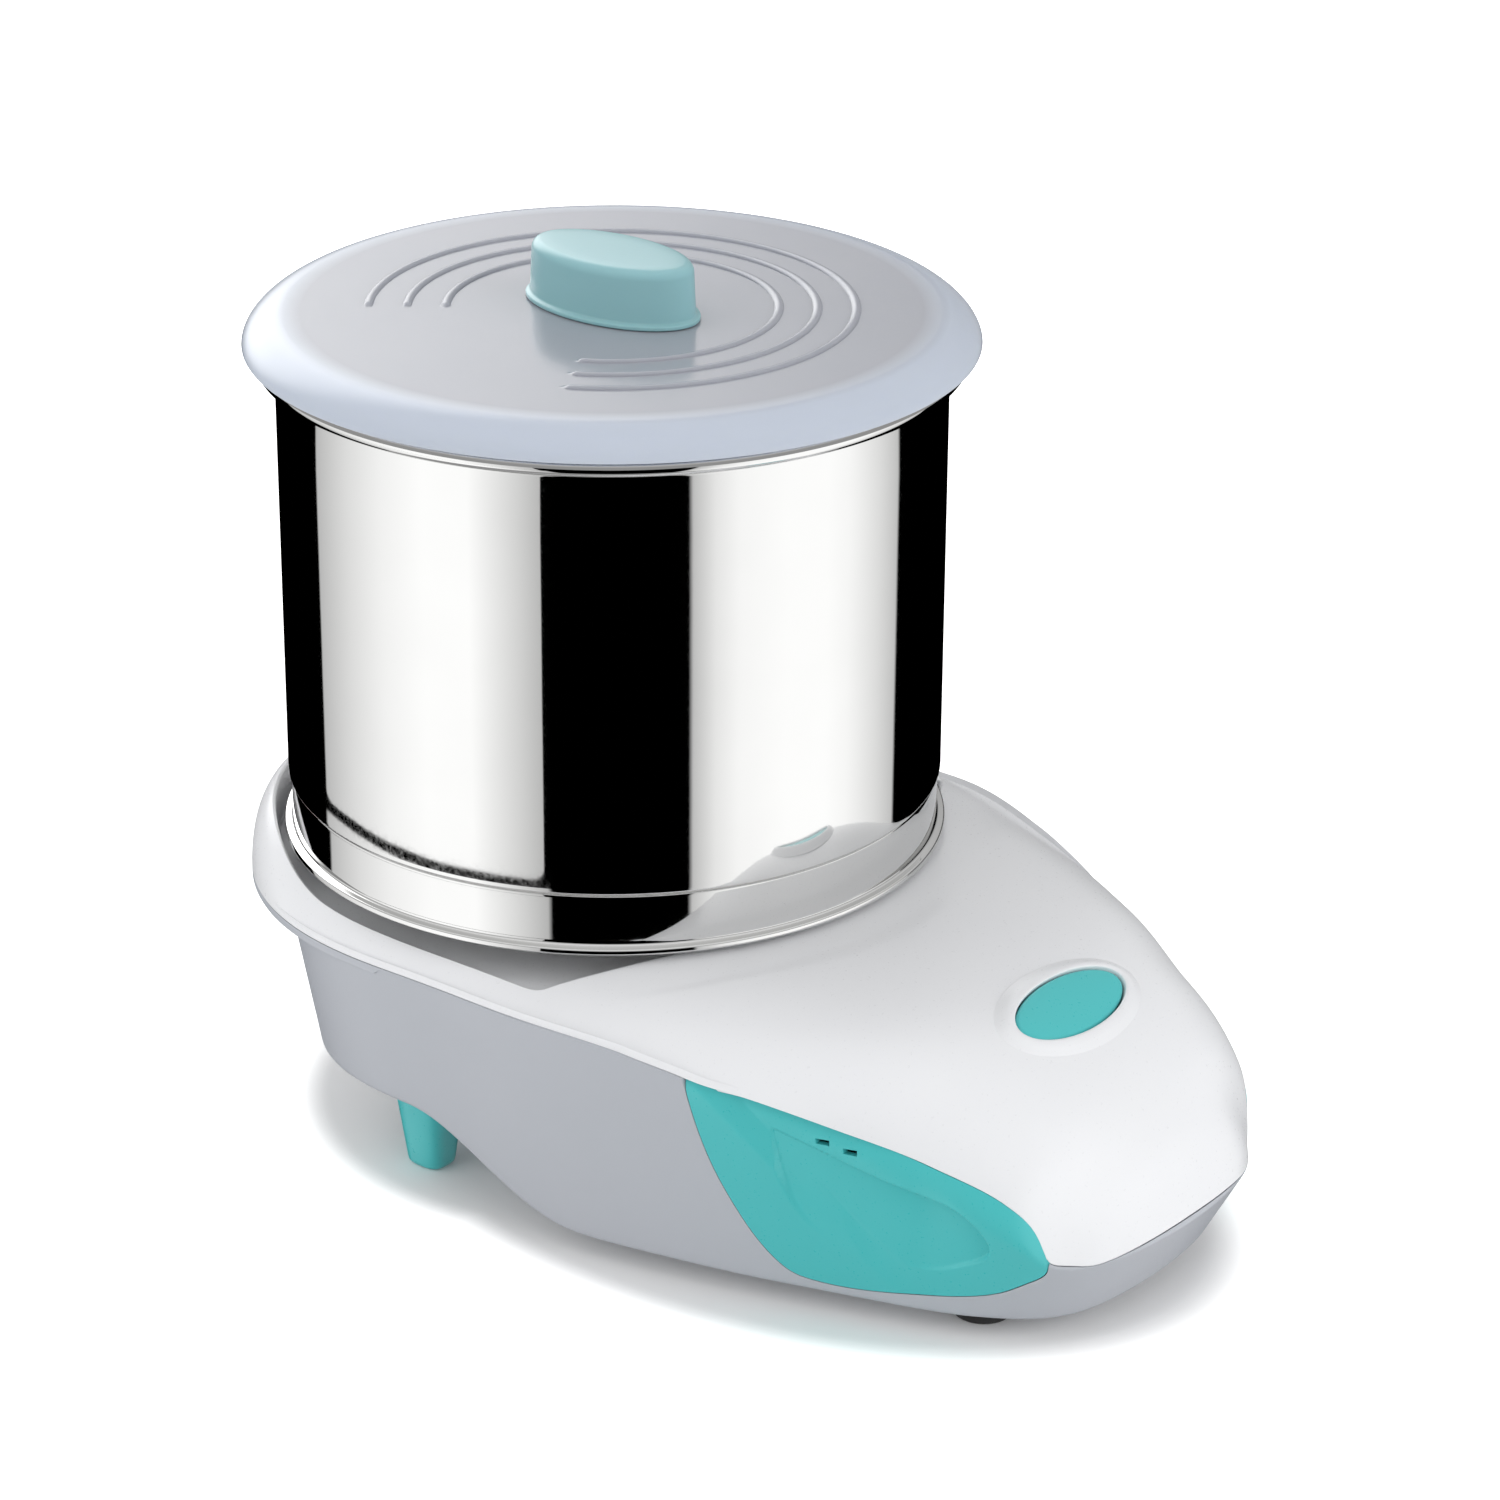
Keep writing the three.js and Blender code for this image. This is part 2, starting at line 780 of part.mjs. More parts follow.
const pegPlaces = [0, 1, 2].map((turn) => {
  const angle = Math.PI / 6 + turn * 2 * Math.PI / 3;
  return { x: peg.orbit * Math.cos(angle), y: peg.orbit * Math.sin(angle) };
});

const headSeat = screw.headHeight + fit.seat;
const screwHole = screw.radius + fit.seat;
const headHole = screw.headRadius + fit.seat;
const mountBottom = panFloorTop + motor.mountRise + fit.seat;
const shaftBore = shaft.radius + fit.seat;
const starterSpan = button.halfWidth + button.gap + button.ringWidth / 2;
const underRim = beadTop + fit.seat;

const buttonHeight = crownHeight(-button.ahead) + button.rise;

function onButton(geometry) {
  return geometry.rotateX(buttonAngle).translate(0, -button.ahead, buttonHeight);
}

// Pan and its feet

function panSolid() {
  const low = pan.floorHeight;
  const [riseShare, insetShare] = roundingShares.pan;
  const middle = low + pan.edge * riseShare;
  const heights = [low, middle, low + pan.edge, pan.rearFloorHeight, deckHeight];
  const insets = [pan.edge, pan.edge * insetShare, 0, 0, 0];
  const outer = lofted(heights.map((height, level) => panOutline(height, insets[level])), heights);
  const profile = across([
    [farRear, pan.rearFloorHeight],
    [farRear, seamHeight(farRear) - fit.seat / 2],
    ...seamLine(-fit.seat / 2).slice(1),
    [farFront, pan.floorHeight],
    ...floorLine(0, 0).reverse(),
  ].reverse(), -farSide, farSide);
  return solid(outer).intersect(solid(profile)).intersect(solid(crowned(0, 0)));
}

function panHollow() {
  const heights = [panFloorTop, rearFloorTop, farTop];
  const inner = lofted(heights.map((height) => panOutline(height, pan.wall)), heights);
  const profile = across([
    [farRear, rearFloorTop],
    [farRear, farTop],
    [farFront, farTop],
    [farFront, panFloorTop],
    ...floorLine(pan.wall, pan.wall / 2).reverse(),
  ].reverse(), -farSide, farSide);
  return solid(inner).intersect(solid(profile)).intersect(solid(crowned(pan.wall, pan.wall)));
}

// Plate at the top of the pan that reaches out under the cover's rim.
function panFlange() {
  const rim = coverEdge().filter(([, y]) => y > -fit.seat).map(([x, y]) => [x, y]);
  const plate = raised(rim, pan.rearFloorHeight, farTop);
  const band = across([
    ...seamLine(-fit.seat / 2),
    ...seamLine(-pan.flange - fit.seat / 2).reverse(),
  ].reverse(), -farSide, farSide);
  return solid(plate).intersect(solid(band));
}

// Slab of the wall between two depths, within a side outline; side is -1 or 1.
function wallSlab(side, shares, outerInset, innerInset, lineShift) {
  const heights = [pan.floorHeight, deckHeight];
  const outer = lofted(heights.map((height) => panOutline(height, outerInset)), heights);
  const inner = lofted(heights.map((height) => panOutline(height, innerInset)),
    [pan.floorHeight - fit.overrun, deckHeight + fit.overrun]);
  const points = shares.map(([along, up]) => [-along * noseTip, up * partingFullHeight]);
  const window = across([...points].reverse(), side < 0 ? -farSide : 0, side < 0 ? 0 : farSide);
  const within = solid(inner).intersect(solid(crowned(innerInset, innerInset)));
  const body = solid(outer).subtract(within).intersect(solid(window));
  if (lineShift === 0) return body;
  const under = across([
    ...seamLine(lineShift),
    [farFront, 0],
    [farRear, 0],
  ].reverse(), -farSide, farSide);
  return body.intersect(solid(under)).intersect(solid(crowned(outerInset, outerInset)));
}

// Panel outline open at the top, where the seam cuts it.
function panelOutline(growth) {
  const grow = growth / partingFullHeight;
  const along = growth / noseTip;
  const low = panelShares.map(([share, up]) => [
    share + Math.sign(share - panelMiddleShares[0]) * along,
    up + Math.sign(up - panelMiddleShares[1]) * grow,
  ]);
  return [[panelRearShare - along, 1], ...low, [panelTipShare + along, 1]];
}

function basePan() {
  const glandHole = turnedDisc(gland.radius + fit.seat, 0, farRear)
    .rotateX(-Math.PI / 2).translate(gland.side, 0, glandHeight);
  const pedestal = turnedRing(shaftBase.radius - shaftBase.thickness, shaftBase.radius + fit.running, 0,
    rearFloorTop, sides.round);
  const shell = panSolid();
  let body = shell.add(panFlange()).subtract(panHollow());
  body = body.add(solid(pedestal).intersect(shell));
  caseScrews.forEach(({ x, y, under }) => {
    body = body.add(solid(post(boss.radius, x, y, under + pan.wall / 2, boss.joint - fit.seat)));
  });
  motorScrews.forEach(({ x, y }) => {
    body = body.add(solid(post(motor.mountRadius, x, y, panFloorTop - pan.wall / 2,
      mountBottom - fit.seat)));
  });
  [...caseScrews, ...motorScrews].forEach(({ x, y, under }) => {
    body = cut(body, [
      post(headHole, x, y, under - fit.overrun, under + headSeat + fit.seat),
      post(screwHole, x, y, under, boss.joint + fit.overrun),
    ]);
  });
  [-1, 1].forEach((side) => {
    const pocket = wallSlab(side, panelOutline(fit.seat), -fit.overrun, panel.thickness + fit.seat, 0);
    body = body.subtract(pocket);
  });
  return cut(body, [glandHole]);
}

function sidePanel(side) {
  const slab = wallSlab(side, panelOutline(0), 0, panel.thickness, -fit.seat / 2);
  const recess = wallSlab(side, recessShares, -fit.overrun, panel.recess, 0);
  const slots = slotShares.map(([along, up]) => {
    const reach = farSide / 2;
    return block(reach, panel.slotLength, panel.slotHeight, side * farSide, -along * noseTip,
      up * partingFullHeight);
  });
  return cut(slab.subtract(recess), slots);
}

function rearFoot() {
  const top = pan.rearFloorHeight - fit.seat;
  const rings = [
    oval(foot.endWidth / 2 - foot.edge, foot.endLength / 2 - foot.edge, footPower, sides.small),
    oval(foot.endWidth / 2, foot.endLength / 2, footPower, sides.small),
    oval(foot.topWidth / 2, foot.topLength / 2, footPower, sides.small),
  ];
  return lofted(rings, [0, foot.edge, top]);
}

// Cover

function deckEdgeLine(shift) {
  return Array.from({ length: sides.deckEdge + 1 }, (_, step) => {
    const x = THREE.MathUtils.lerp(-farSide, farSide, step / sides.deckEdge);
    const sweep = cover.deckEdgeSweep * (x / (rimHalfWidth - cover.frontRimWidth)) ** 2;
    return [x, sweep - deckRearEdge - shift];
  });
}

function behindDeck(shift, bottom) {
  return raised([...deckEdgeLine(shift), [farSide, farRear], [-farSide, farRear]], bottom, farTop);
}

// Inner edge of the rim round the tray.
function trayEdge() {
  const front = frontRing.map((place, step) => {
    const share = THREE.MathUtils.smoothstep(noseShare(place.point.y), 0, crownShares[0][0]);
    const inset = THREE.MathUtils.lerp(cover.rimWidth, cover.frontRimWidth, share);
    return frontPoint(place, wallTops[step], inset);
  });
  const rear = superArc(rimHalfWidth - cover.rimWidth, rimRearReach - cover.rimWidth, rimPower,
    0, Math.PI, sides.outlineRear).slice(0, -1);
  return [...front, ...rear];
}

function topCover() {
  const hollow = solid(crowned(cover.wall, cover.wall))
    .subtract(solid(behindDeck(cover.wall, trayUnder)));
  const tray = solid(raised(trayEdge(), trayHeight, farTop))
    .intersect(solid(behindDeck(0, trayHeight)));
  const ringOval = oval(button.halfWidth + button.gap + button.ringWidth,
    button.halfLength + button.gap + button.ringWidth);
  const opening = oval(button.halfWidth + button.gap, button.halfLength + button.gap);
  const postTop = -button.ringDepth / 2;
  const postEnd = -button.thickness - button.stemLength - button.travel - fit.seat;

  const aboveSeam = across([
    ...seamLine(fit.seat / 2),
    [farFront, farTop],
    [farRear, farTop],
  ], -farSide, farSide);

  const outer = solid(crowned(0, 0)).intersect(solid(aboveSeam));
  const bosses = caseScrews.map(({ x, y }) => (
    solid(post(boss.radius, x, y, boss.joint, farTop)).intersect(solid(crowned(0, 0)))));
  let body = bosses.reduce((whole, each) => whole.add(each), outer.subtract(hollow)).subtract(tray);
  body = body.add(solid(onButton(raised(ringOval, -button.ringDepth, button.ringHeight))));
  [-1, 1].forEach((side) => {
    const x = side * starterSpan;
    body = body.add(solid(onButton(post(starter.postRadius, x, 0, postEnd, postTop))));
  });
  body = body.add(solid(turnedRing(driveOpening, driveOpening + cover.collar,
    trayUnder + cover.wall / 2, trayHeight + cover.collarRise)));
  return cut(body, [
    ...caseScrews.map(({ x, y }) => (
      post(screwHole, x, y, boss.joint - fit.overrun, boss.joint + boss.bite + fit.running))),
    onButton(raised(opening, -button.ringDepth - fit.overrun, fit.overrun)),
    turnedDisc(driveOpening, 0, trayHeight + fit.overrun),
  ]);
}

// Button and switch, drawn upright and tilted into place

function startButton() {
  const low = -button.thickness;
  const [riseShare, insetShare] = roundingShares.button;
  const rounding = button.edge * insetShare;
  const rings = [0, 0, rounding, button.edge].map((inset) => (
    oval(button.halfWidth - inset, button.halfLength - inset)));
  const cap = lofted(rings, [low, -button.edge, -button.edge * riseShare, 0]);
  const stem = post(button.stemRadius, 0, 0, low - button.stemLength, low + button.edge);
  return joined([cap, stem]);
}

function buttonSpring() {
  const top = -button.thickness - fit.seat;
  const bottom = top - button.stemLength - button.travel + fit.seat;
  return turnedRing(coil.radius - coil.wall, coil.radius, bottom, top, sides.small);
}

function startSwitch() {
  const top = -button.thickness - button.stemLength - button.travel - 2 * fit.seat;
  return joined([
    block(2 * (starterSpan + starter.postRadius), 2 * starter.postRadius, starter.earHeight, 0, 0,
      top - starter.earHeight),
    block(starter.width, starter.depth, starter.height, 0, 0, top - starter.height),
  ]);
}

// Screws, with a slot across the head

function slottedScrew(length) {
  const head = turnedDisc(screw.headRadius, 0, screw.headHeight, sides.small);
  const shank = turnedDisc(screw.radius, screw.headHeight / 2, length, sides.small);
  const slot = block(2 * farSide, screw.slot, screw.headHeight, 0, 0, -screw.headHeight / 2);
  return cut(joined([head, shank]), [slot]);
}

// Motor

function lowerBell() {
  const { radius, wall, bellHeight, shaftRadius, bearingWall, bearingDepth } = motor;
  const bottom = motorBottom;
  const bore = shaftRadius + fit.seat;
  const bell = solid(turned([
    [bore, bottom],
    [radius, bottom],
    [radius, bottom + bellHeight],
    [radius - wall, bottom + bellHeight],
    [radius - wall, bottom + wall],
    [bore + bearingWall, bottom + wall],
    [bore + bearingWall, bottom + wall + bearingDepth],
    [bore, bottom + wall + bearingDepth],
    [bore, bottom],
  ]));
  return cut(bell, motorScrews.map(({ x, y }) => (
    post(screwHole, x, y + motor.ahead, bottom - fit.overrun, bottom + bellHeight))));
}

function upperBell() {
  const { radius, wall, shaftRadius, bearingWall, bearingDepth } = motor;
  const bore = shaftRadius + fit.seat;
  return turned([
    [bore, upperBellTop - wall - bearingDepth],
    [bore + bearingWall, upperBellTop - wall - bearingDepth],
    [bore + bearingWall, upperBellTop - wall],
    [radius - wall, upperBellTop - wall],
    [radius - wall, upperBellBottom],
    [radius, upperBellBottom],
    [radius, upperBellTop],
    [bore, upperBellTop],
    [bore, upperBellTop - wall - bearingDepth],
  ]);
}

function motorRotor() {
  const { shaftRadius, rotorRadius } = motor;
  return turned([
    [0, motorBottom + fit.seat],
    [shaftRadius, motorBottom + fit.seat],
    [shaftRadius, stackBottom],
    [rotorRadius, stackBottom],
    [rotorRadius, stackTop],
    [shaftRadius, stackTop],
    [shaftRadius, wheelTop - fit.running],
    [0, wheelTop - fit.running],
  ]);
}

function coolingFan() {
  const bore = motor.shaftRadius + fit.seat;
  const discTop = fanBottom + fan.disc;
  const top = fanBottom + fan.height;
  const disc = turnedRing(bore, fan.radius, fanBottom, discTop);
  const boss = turnedRing(bore, fan.hubRadius, fanBottom, top);
  const bladeLength = fan.radius - fan.hubRadius;
  const blades = Array.from({ length: bladeCount }, (_, turn) => (
    block(bladeLength, fan.bladeThickness, fan.height, fan.hubRadius + bladeLength / 2 - fan.disc, 0,
      fanBottom).rotateZ(2 * Math.PI * turn / bladeCount)));
  return joined([disc, boss, ...blades]);
}

function motorPulley() {
  const bore = motor.shaftRadius + fit.seat;
  const { radius, lip, flange } = pinion;
  return turned([
    [bore, wheelBottom],
    [radius + lip, wheelBottom],
    [radius + lip, wheelBottom + flange],
    [radius, wheelBottom + flange],
    [radius, wheelTop - flange],
    [radius + lip, wheelTop - flange],
    [radius + lip, wheelTop],
    [bore, wheelTop],
    [bore, wheelBottom],
  ]);
}

// Drive

// Outline of a band round both pulleys, at one distance outside their tracks.
function beltLoop(outside) {
  const large = wheel.radius + outside;
  const small = pinion.radius + outside;
  const angle = Math.asin((large - small) / motor.ahead);
  const arc = (radius, from, to, y, steps) => Array.from({ length: steps + 1 }, (_, step) => {
    const turn = THREE.MathUtils.lerp(from, to, step / steps);
    return new THREE.Vector2(radius * Math.cos(turn), radius * Math.sin(turn) + y);
  });
  return [
    ...arc(large, -angle, Math.PI + angle, 0, sides.drum),
    ...arc(small, Math.PI + angle, 2 * Math.PI - angle, -motor.ahead, sides.small),
  ];
}

function driveBelt() {
  const shape = new THREE.Shape(beltLoop(fit.seat + belt.thickness));
  shape.holes.push(new THREE.Path(beltLoop(fit.seat)));
  const bottom = wheelBottom + (wheel.width - belt.width) / 2;
  return new THREE.ExtrudeGeometry(shape, { depth: belt.width, bevelEnabled: false })
    .translate(0, 0, bottom);
}

function drivePulley() {
  const { radius, rim, web, lip, width } = wheel;
  const webBottom = wheelBottom + (width - web) / 2;
  const low = shaftBossTop + fit.running;
  const body = solid(turned([
    [wheelBore, low],
    [wheelHub, low],
    [wheelHub, webBottom],
    [radius - rim, webBottom],
    [radius - rim, wheelBottom],
    [radius + lip, wheelBottom],
    [radius + lip, wheelBottom + lip],
    [radius, wheelBottom + lip],
    [radius, wheelTop - lip],
    [radius + lip, wheelTop - lip],
    [radius + lip, wheelTop],
    [radius - rim, wheelTop],
    [radius - rim, webBottom + web],
    [wheelHub, webBottom + web],
    [wheelHub, wheelHubTop],
    [wheelBore, wheelHubTop],
    [wheelBore, low],
  ], sides.wheel));
  return cut(body, hubScrews.map(({ x, y }) => (
    post(screwHole, x, y, wheelHubTop - hub.screwBite - fit.running, farTop))));
}

function driveBearing(bottom) {
  return turnedRing(shaftBore, bearing.radius, bottom, bottom + bearing.height);
}

function shaftBaseBody() {
  const bottom = rearFloorTop + fit.seat;
  return turned([
    [shaftBore, bottom],
    [shaftBase.radius, bottom],
    [shaftBase.radius, bottom + shaftBase.thickness],
    [shaftBase.bossRadius, bottom + shaftBase.thickness],
    [shaftBase.bossRadius, shaftBossTop],
    [shaftBore, shaftBossTop],
    [shaftBore, bottom],
  ]);
}

function centreShaft() {
  return turned([
    [0, rearFloorTop + fit.seat],
    [shaft.radius, rearFloorTop + fit.seat],
    [shaft.radius, shaftShoulder],
    [shaft.endRadius, shaftShoulder],
    [shaft.endRadius, shaftTop],
    [0, shaftTop],
  ]);
}

function driveHub() {
  const bore = shaft.radius + fit.running;
  const body = joined([
    turned([
      [bore, wheelHubTop + fit.seat],
      [wheelHub, wheelHubTop + fit.seat],
      [wheelHub, hubBottom],
      [hub.radius, hubBottom],
      [hub.radius, hubTop],
      [bore, hubTop],
      [bore, wheelHubTop + fit.seat],
    ], sides.wheel),
    ...pegPlaces.map(({ x, y }) => post(peg.radius, x, y, hubTop - hub.thickness / 2, hubTop + peg.rise)),
  ]);
  return cut(body, hubScrews.flatMap(({ x, y }) => [
    post(screwHole, x, y, 0, farTop),
    post(headHole, x, y, hubTop - headSeat - fit.seat, farTop),
  ]));
}

function hubSeal() {
  return turnedRing(driveOpening - fit.seat - seal.wall, driveOpening - fit.seat,
    trayHeight - fit.running, trayHeight - fit.running + seal.height);
}

// Drum

function drumShell() {
  const inner = drum.radius - drum.wall;
  const stepTop = stepHeight + drum.stepRise;
  const beadMiddle = drum.radius + drum.beadOffset;
  const bead = Array.from({ length: sides.bead + 1 }, (_, step) => {
    const turn = THREE.MathUtils.lerp(...beadTurnShares, step / sides.bead) * Math.PI;
    return [
      beadMiddle + drum.beadRadius * Math.cos(turn),
      beadHeight + drum.beadRadius * Math.sin(turn),
    ];
  });
  return turned([
    [tubeRadius + fit.seat, drumFloor],
    [neckRadius, drumFloor],
    [neckRadius, stepHeight],
    [drum.radius - drum.stepRise, stepHeight],
    [drum.radius, stepTop],
    [drum.radius, bead[0][1] - drum.beadRadius],
    ...bead,
    [inner, bead[sides.bead][1]],
    [inner, stepTop + drum.wall],
    [neckRadius - drum.wall, stepTop],
    [neckRadius - drum.wall, drumFloorTop],
    [tubeRadius + fit.seat, drumFloorTop],
    [tubeRadius + fit.seat, drumFloor],
  ], sides.drum);
}

function drumBaseRing() {
  const { flangeReach, flangeEdge, lip } = baseRing;
  const flangeRadius = ringRadius + flangeReach;
  const flangeTop = ringFloorTop + flangeEdge;
  const top = stepHeight - fit.seat;
  return turned([
    [ringInner - lip, ringBottom],
    [flangeRadius - flangeEdge, ringBottom],
    [flangeRadius, ringBottom + flangeEdge],
    [flangeRadius - flangeEdge / 2, flangeTop],
    [ringRadius, flangeTop],
    [ringRadius, top],
    [ringInner, top],
    [ringInner, ringFloorTop],
    [ringInner - lip, ringFloorTop],
    [ringInner - lip, ringBottom],
  ], sides.drum);
}

function drumCoupling() {
  const ring = solid(turnedRing(tubeRadius + fit.seat, coupling.radius, hubTop + fit.seat,
    drumFloor - fit.seat, sides.wheel));
  return cut(ring, pegPlaces.map(({ x, y }) => post(peg.radius + fit.seat * 2, x, y, 0, farTop)));
}

function centreTube() {
  return turnedRing(tube.bore, tubeRadius, hubTop + fit.running, tubeTop);
}

function baseStoneBody() {
  const bore = tubeRadius + fit.seat;
  const { chamfer } = baseStone;
  return turned([
    [bore, stoneBottom],
    [stoneRadius, stoneBottom],
    [stoneRadius, stoneTop - chamfer],
    [stoneRadius - chamfer, stoneTop],
    [bore, stoneTop],
    [bore, stoneBottom],
  ], sides.drum);
}

// Stone carrier; its rollers are drawn upright and tipped outwards

function onRollerAxis(geometry, side) {
  geometry.rotateY(Math.PI / 2 - halfAngle).translate(0, 0, apex);
  return side > 0 ? geometry : geometry.rotateZ(Math.PI);
}

function stoneCarrier() {
  const bore = tubeRadius + fit.running;
  const outer = bore + carrier.wall;
  const bottom = stoneTop + fit.running;
  const capBottom = shaftShoulder + fit.seat;
  const bosses = [-1, 1].map((side) => onRollerAxis(turnedDisc(carrier.axleBossRadius,
    carrier.axleBossStart, carrier.axleBossEnd, sides.small), side));
  const sleeve = turnedDisc(outer, bottom, capBottom + carrier.capThickness);
  return cut(joined([sleeve, ...bosses]), [
    turnedDisc(bore, bottom - fit.overrun, capBottom),
    turnedDisc(shaft.endRadius + fit.seat, bottom, farTop * 2),
    ...[-1, 1].map((side) => onRollerAxis(turnedDisc(axle.radius + fit.seat,
      axle.start - fit.seat, rollerReach, sides.small), side)),
  ]);
}

function rollerAxle(side) {
  const capBottom = rollerReach + fit.running;
  return onRollerAxis(turned([
    [0, axle.start],
    [axle.radius, axle.start],
    [axle.radius, capBottom],
    [axle.capRadius, capBottom],
    [axle.capRadius, capBottom + axle.capLength],
    [0, capBottom + axle.capLength],
  ], sides.small), side);
}

function rollerBush(side) {
  const bore = axle.radius + fit.seat;
  return onRollerAxis(turnedRing(bore, bore + bush.wall, roller.innerReach - bush.stand,
    rollerReach + bush.stand, sides.round), side);
}

function rollerStone(side) {
  const bore = axle.radius + bush.wall + 2 * fit.seat;
  const slope = Math.tan(halfAngle);
  const { innerReach, edge } = roller;
  return onRollerAxis(turned([
    [bore, innerReach],
    [innerReach * slope, innerReach],
    [(rollerReach - edge) * slope, rollerReach - edge],
    [rollerReach * slope - edge, rollerReach],
    [bore, rollerReach],
    [bore, innerReach],
  ]), side);
}

function batterScraper() {
  const sleeve = tubeRadius + fit.running + carrier.wall;
  const half = scraper.thickness / 2;
  const bottom = stoneTop + fit.running;
  const clampBottom = stoneTop + scraper.clampRise;
  const reach = stoneRadius - scraper.inset;
  const tipReach = stoneRadius - scraper.tipInset;
  const blade = raised([
    [-half, sleeve + scraper.clampWall / 2],
    [half, sleeve + scraper.clampWall / 2],
    [half, reach],
    [half + scraper.tipAside, tipReach],
    [half + scraper.tipAside - scraper.thickness, tipReach + scraper.thickness / 2],
    [-half, reach + scraper.thickness / 2],
  ], bottom, bottom + scraper.height);
  const inner = sleeve + fit.seat;
  const clamp = turnedRing(inner, inner + scraper.clampWall, clampBottom,
    clampBottom + scraper.clampHeight);
  return cut(joined([blade, clamp]), [turnedDisc(inner, bottom - fit.overrun, farTop * 2)]);
}

function lockKnob() {
  const bottom = shaftShoulder + carrier.capThickness + 2 * fit.seat;
  const top = bottom + knob.height;
  const lobes = Array.from({ length: lobeCount }, (_, turn) => (
    post(knob.lobeRadius, knob.lobeOrbit, 0, bottom, top - knob.edge)
      .rotateZ(2 * Math.PI * turn / lobeCount)));
  const body = turned([
    [0, bottom],
    [knob.radius, bottom],
    [knob.radius, top - knob.edge],
    [knob.radius - knob.edge, top],
    [0, top],
  ]);
  return cut(joined([body, ...lobes]), [
    turnedDisc(shaft.endRadius + fit.seat, bottom - fit.overrun, shaftTop + fit.seat)]);
}

// Lid and handle

function lidArc(shrink, steps) {
  const { shoulder, rise } = lid;
  return superArc(shoulder, rise, lidPower, 0, Math.PI / 2, steps).map(([x, z]) => (
    [plateauRadius + x * (1 - shrink / shoulder), lidEdgeHeight + z * (1 - shrink / rise)]));
}

function lidBody() {
  const under = plateauHeight - lid.wall;
  const spigotOuter = drum.radius - drum.wall - fit.running;
  const spigotInner = spigotOuter - lid.spigotWall;
  const seatRadius = drum.radius + lid.seatOffset;
  const seatInner = seatRadius - lid.seatWidth / 2;
  const seatOuter = seatRadius + lid.seatWidth / 2;
  const spigotBottom = beadHeight - lid.spigotDrop;
  const inside = lidArc(lid.wall, sides.lidInner);
  const skirt = inside.filter(([radius]) => radius > seatOuter);
  const innerHeight = (radius) => inside.reduce((best, point) => (
    Math.abs(point[0] - radius) < Math.abs(best[0] - radius) ? point : best))[1];
  const body = solid(turned([
    [0, under],
    [spigotInner, under],
    [spigotInner, spigotBottom],
    [spigotOuter, spigotBottom],
    [spigotOuter, innerHeight(spigotOuter)],
    [seatInner, innerHeight(seatInner)],
    [seatInner, underRim],
    [seatOuter, underRim],
    [seatOuter, innerHeight(seatOuter)],
    ...skirt.reverse(),
    ...lidArc(0, sides.lidOuter),
    [0, plateauHeight],
  ], sides.drum));
  const start = THREE.MathUtils.degToRad(ribTurn.start);
  const end = THREE.MathUtils.degToRad(ribTurn.end);
  const ribs = ribRadii.map((radius) => {
    const shape = new THREE.Shape();
    shape.absarc(0, 0, radius + lid.ribWidth / 2, start, end, true);
    shape.absarc(0, 0, radius - lid.ribWidth / 2, end, start, false);
    const depth = lid.ribHeight + lid.wall / 2;
    return new THREE.ExtrudeGeometry(shape, { depth, bevelEnabled: false, curveSegments: sides.round })
      .translate(0, 0, plateauHeight - lid.wall / 2);
  });
  return ribs.reduce((whole, rib) => whole.add(solid(rib)), body);
}

function lidHandle() {
  const { halfWidth, halfLength, height, draft, edge, flange, flangeHeight, wall } = handle;
  const [riseShare, insetShare] = roundingShares.handle;
  const rings = [
    [flange, 0],
    [flange, flangeHeight * handleLipShare],
    [0, flangeHeight],
    [-draft, height - edge],
    [-draft - edge * insetShare, height - edge * riseShare],
    [-draft - edge, height],
  ];
  const bottom = plateauHeight + fit.seat;
  const outer = lofted(rings.map(([grow]) => oval(halfWidth + grow, halfLength + grow)),
    rings.map((ring) => bottom + ring[1]));
  const inside = lofted([-wall, -wall - draft].map((grow) => oval(halfWidth + grow, halfLength + grow)),
    [bottom - fit.overrun, bottom + height - wall]);
  return cut(solid(outer), [inside]);
}

// Electrical pieces

function capacitorCan() {
  const middle = panFloorTop + capacitor.strap + capacitor.radius + 2 * fit.seat;
  return turnedDisc(capacitor.radius, -capacitor.length / 2, capacitor.length / 2)
    .rotateX(Math.PI / 2).translate(0, 0, middle);
}

function capacitorStrap() {
  const inner = capacitor.radius + fit.seat;
  const middle = panFloorTop + fit.seat + capacitor.strap + inner;
  const half = capacitor.strapWidth / 2;
  const band = turnedDisc(inner + capacitor.strap, -half, half).rotateX(Math.PI / 2).translate(0, 0, middle);
  const hole = turnedDisc(inner, -capacitor.length, capacitor.length).rotateX(Math.PI / 2)
    .translate(0, 0, middle);
  const ear = block(2 * (inner + capacitor.ear), capacitor.strapWidth, capacitor.strap, 0, 0,
    panFloorTop + fit.seat);
  return cut(joined([band, ear]), [hole]);
}

function terminalBlock() {
  const bottom = panFloorTop + fit.seat;
  const body = solid(block(terminals.width, terminals.length, terminals.height, 0, 0, bottom));
  const top = bottom + terminals.height;
  return cut(body, Array.from({ length: terminalCount }, (_, place) => {
    const y = (place - (terminalCount - 1) / 2) * terminalWell.spacing;
    return post(terminalWell.radius, 0, y, top - terminalWell.depth, top + fit.overrun);
  }));
}

function glandWall() {
  const rise = glandHeight - pan.floorHeight;
  const halfWidth = floorHalfWidth + leanShares.side * rise;
  const reach = floorRearReach + leanShares.rear * (rise + gland.flangeRadius);
  const nearSide = (gland.side - gland.flangeRadius) / halfWidth;
  return reach * (1 - nearSide ** rearPower) ** (1 / rearPower);
}

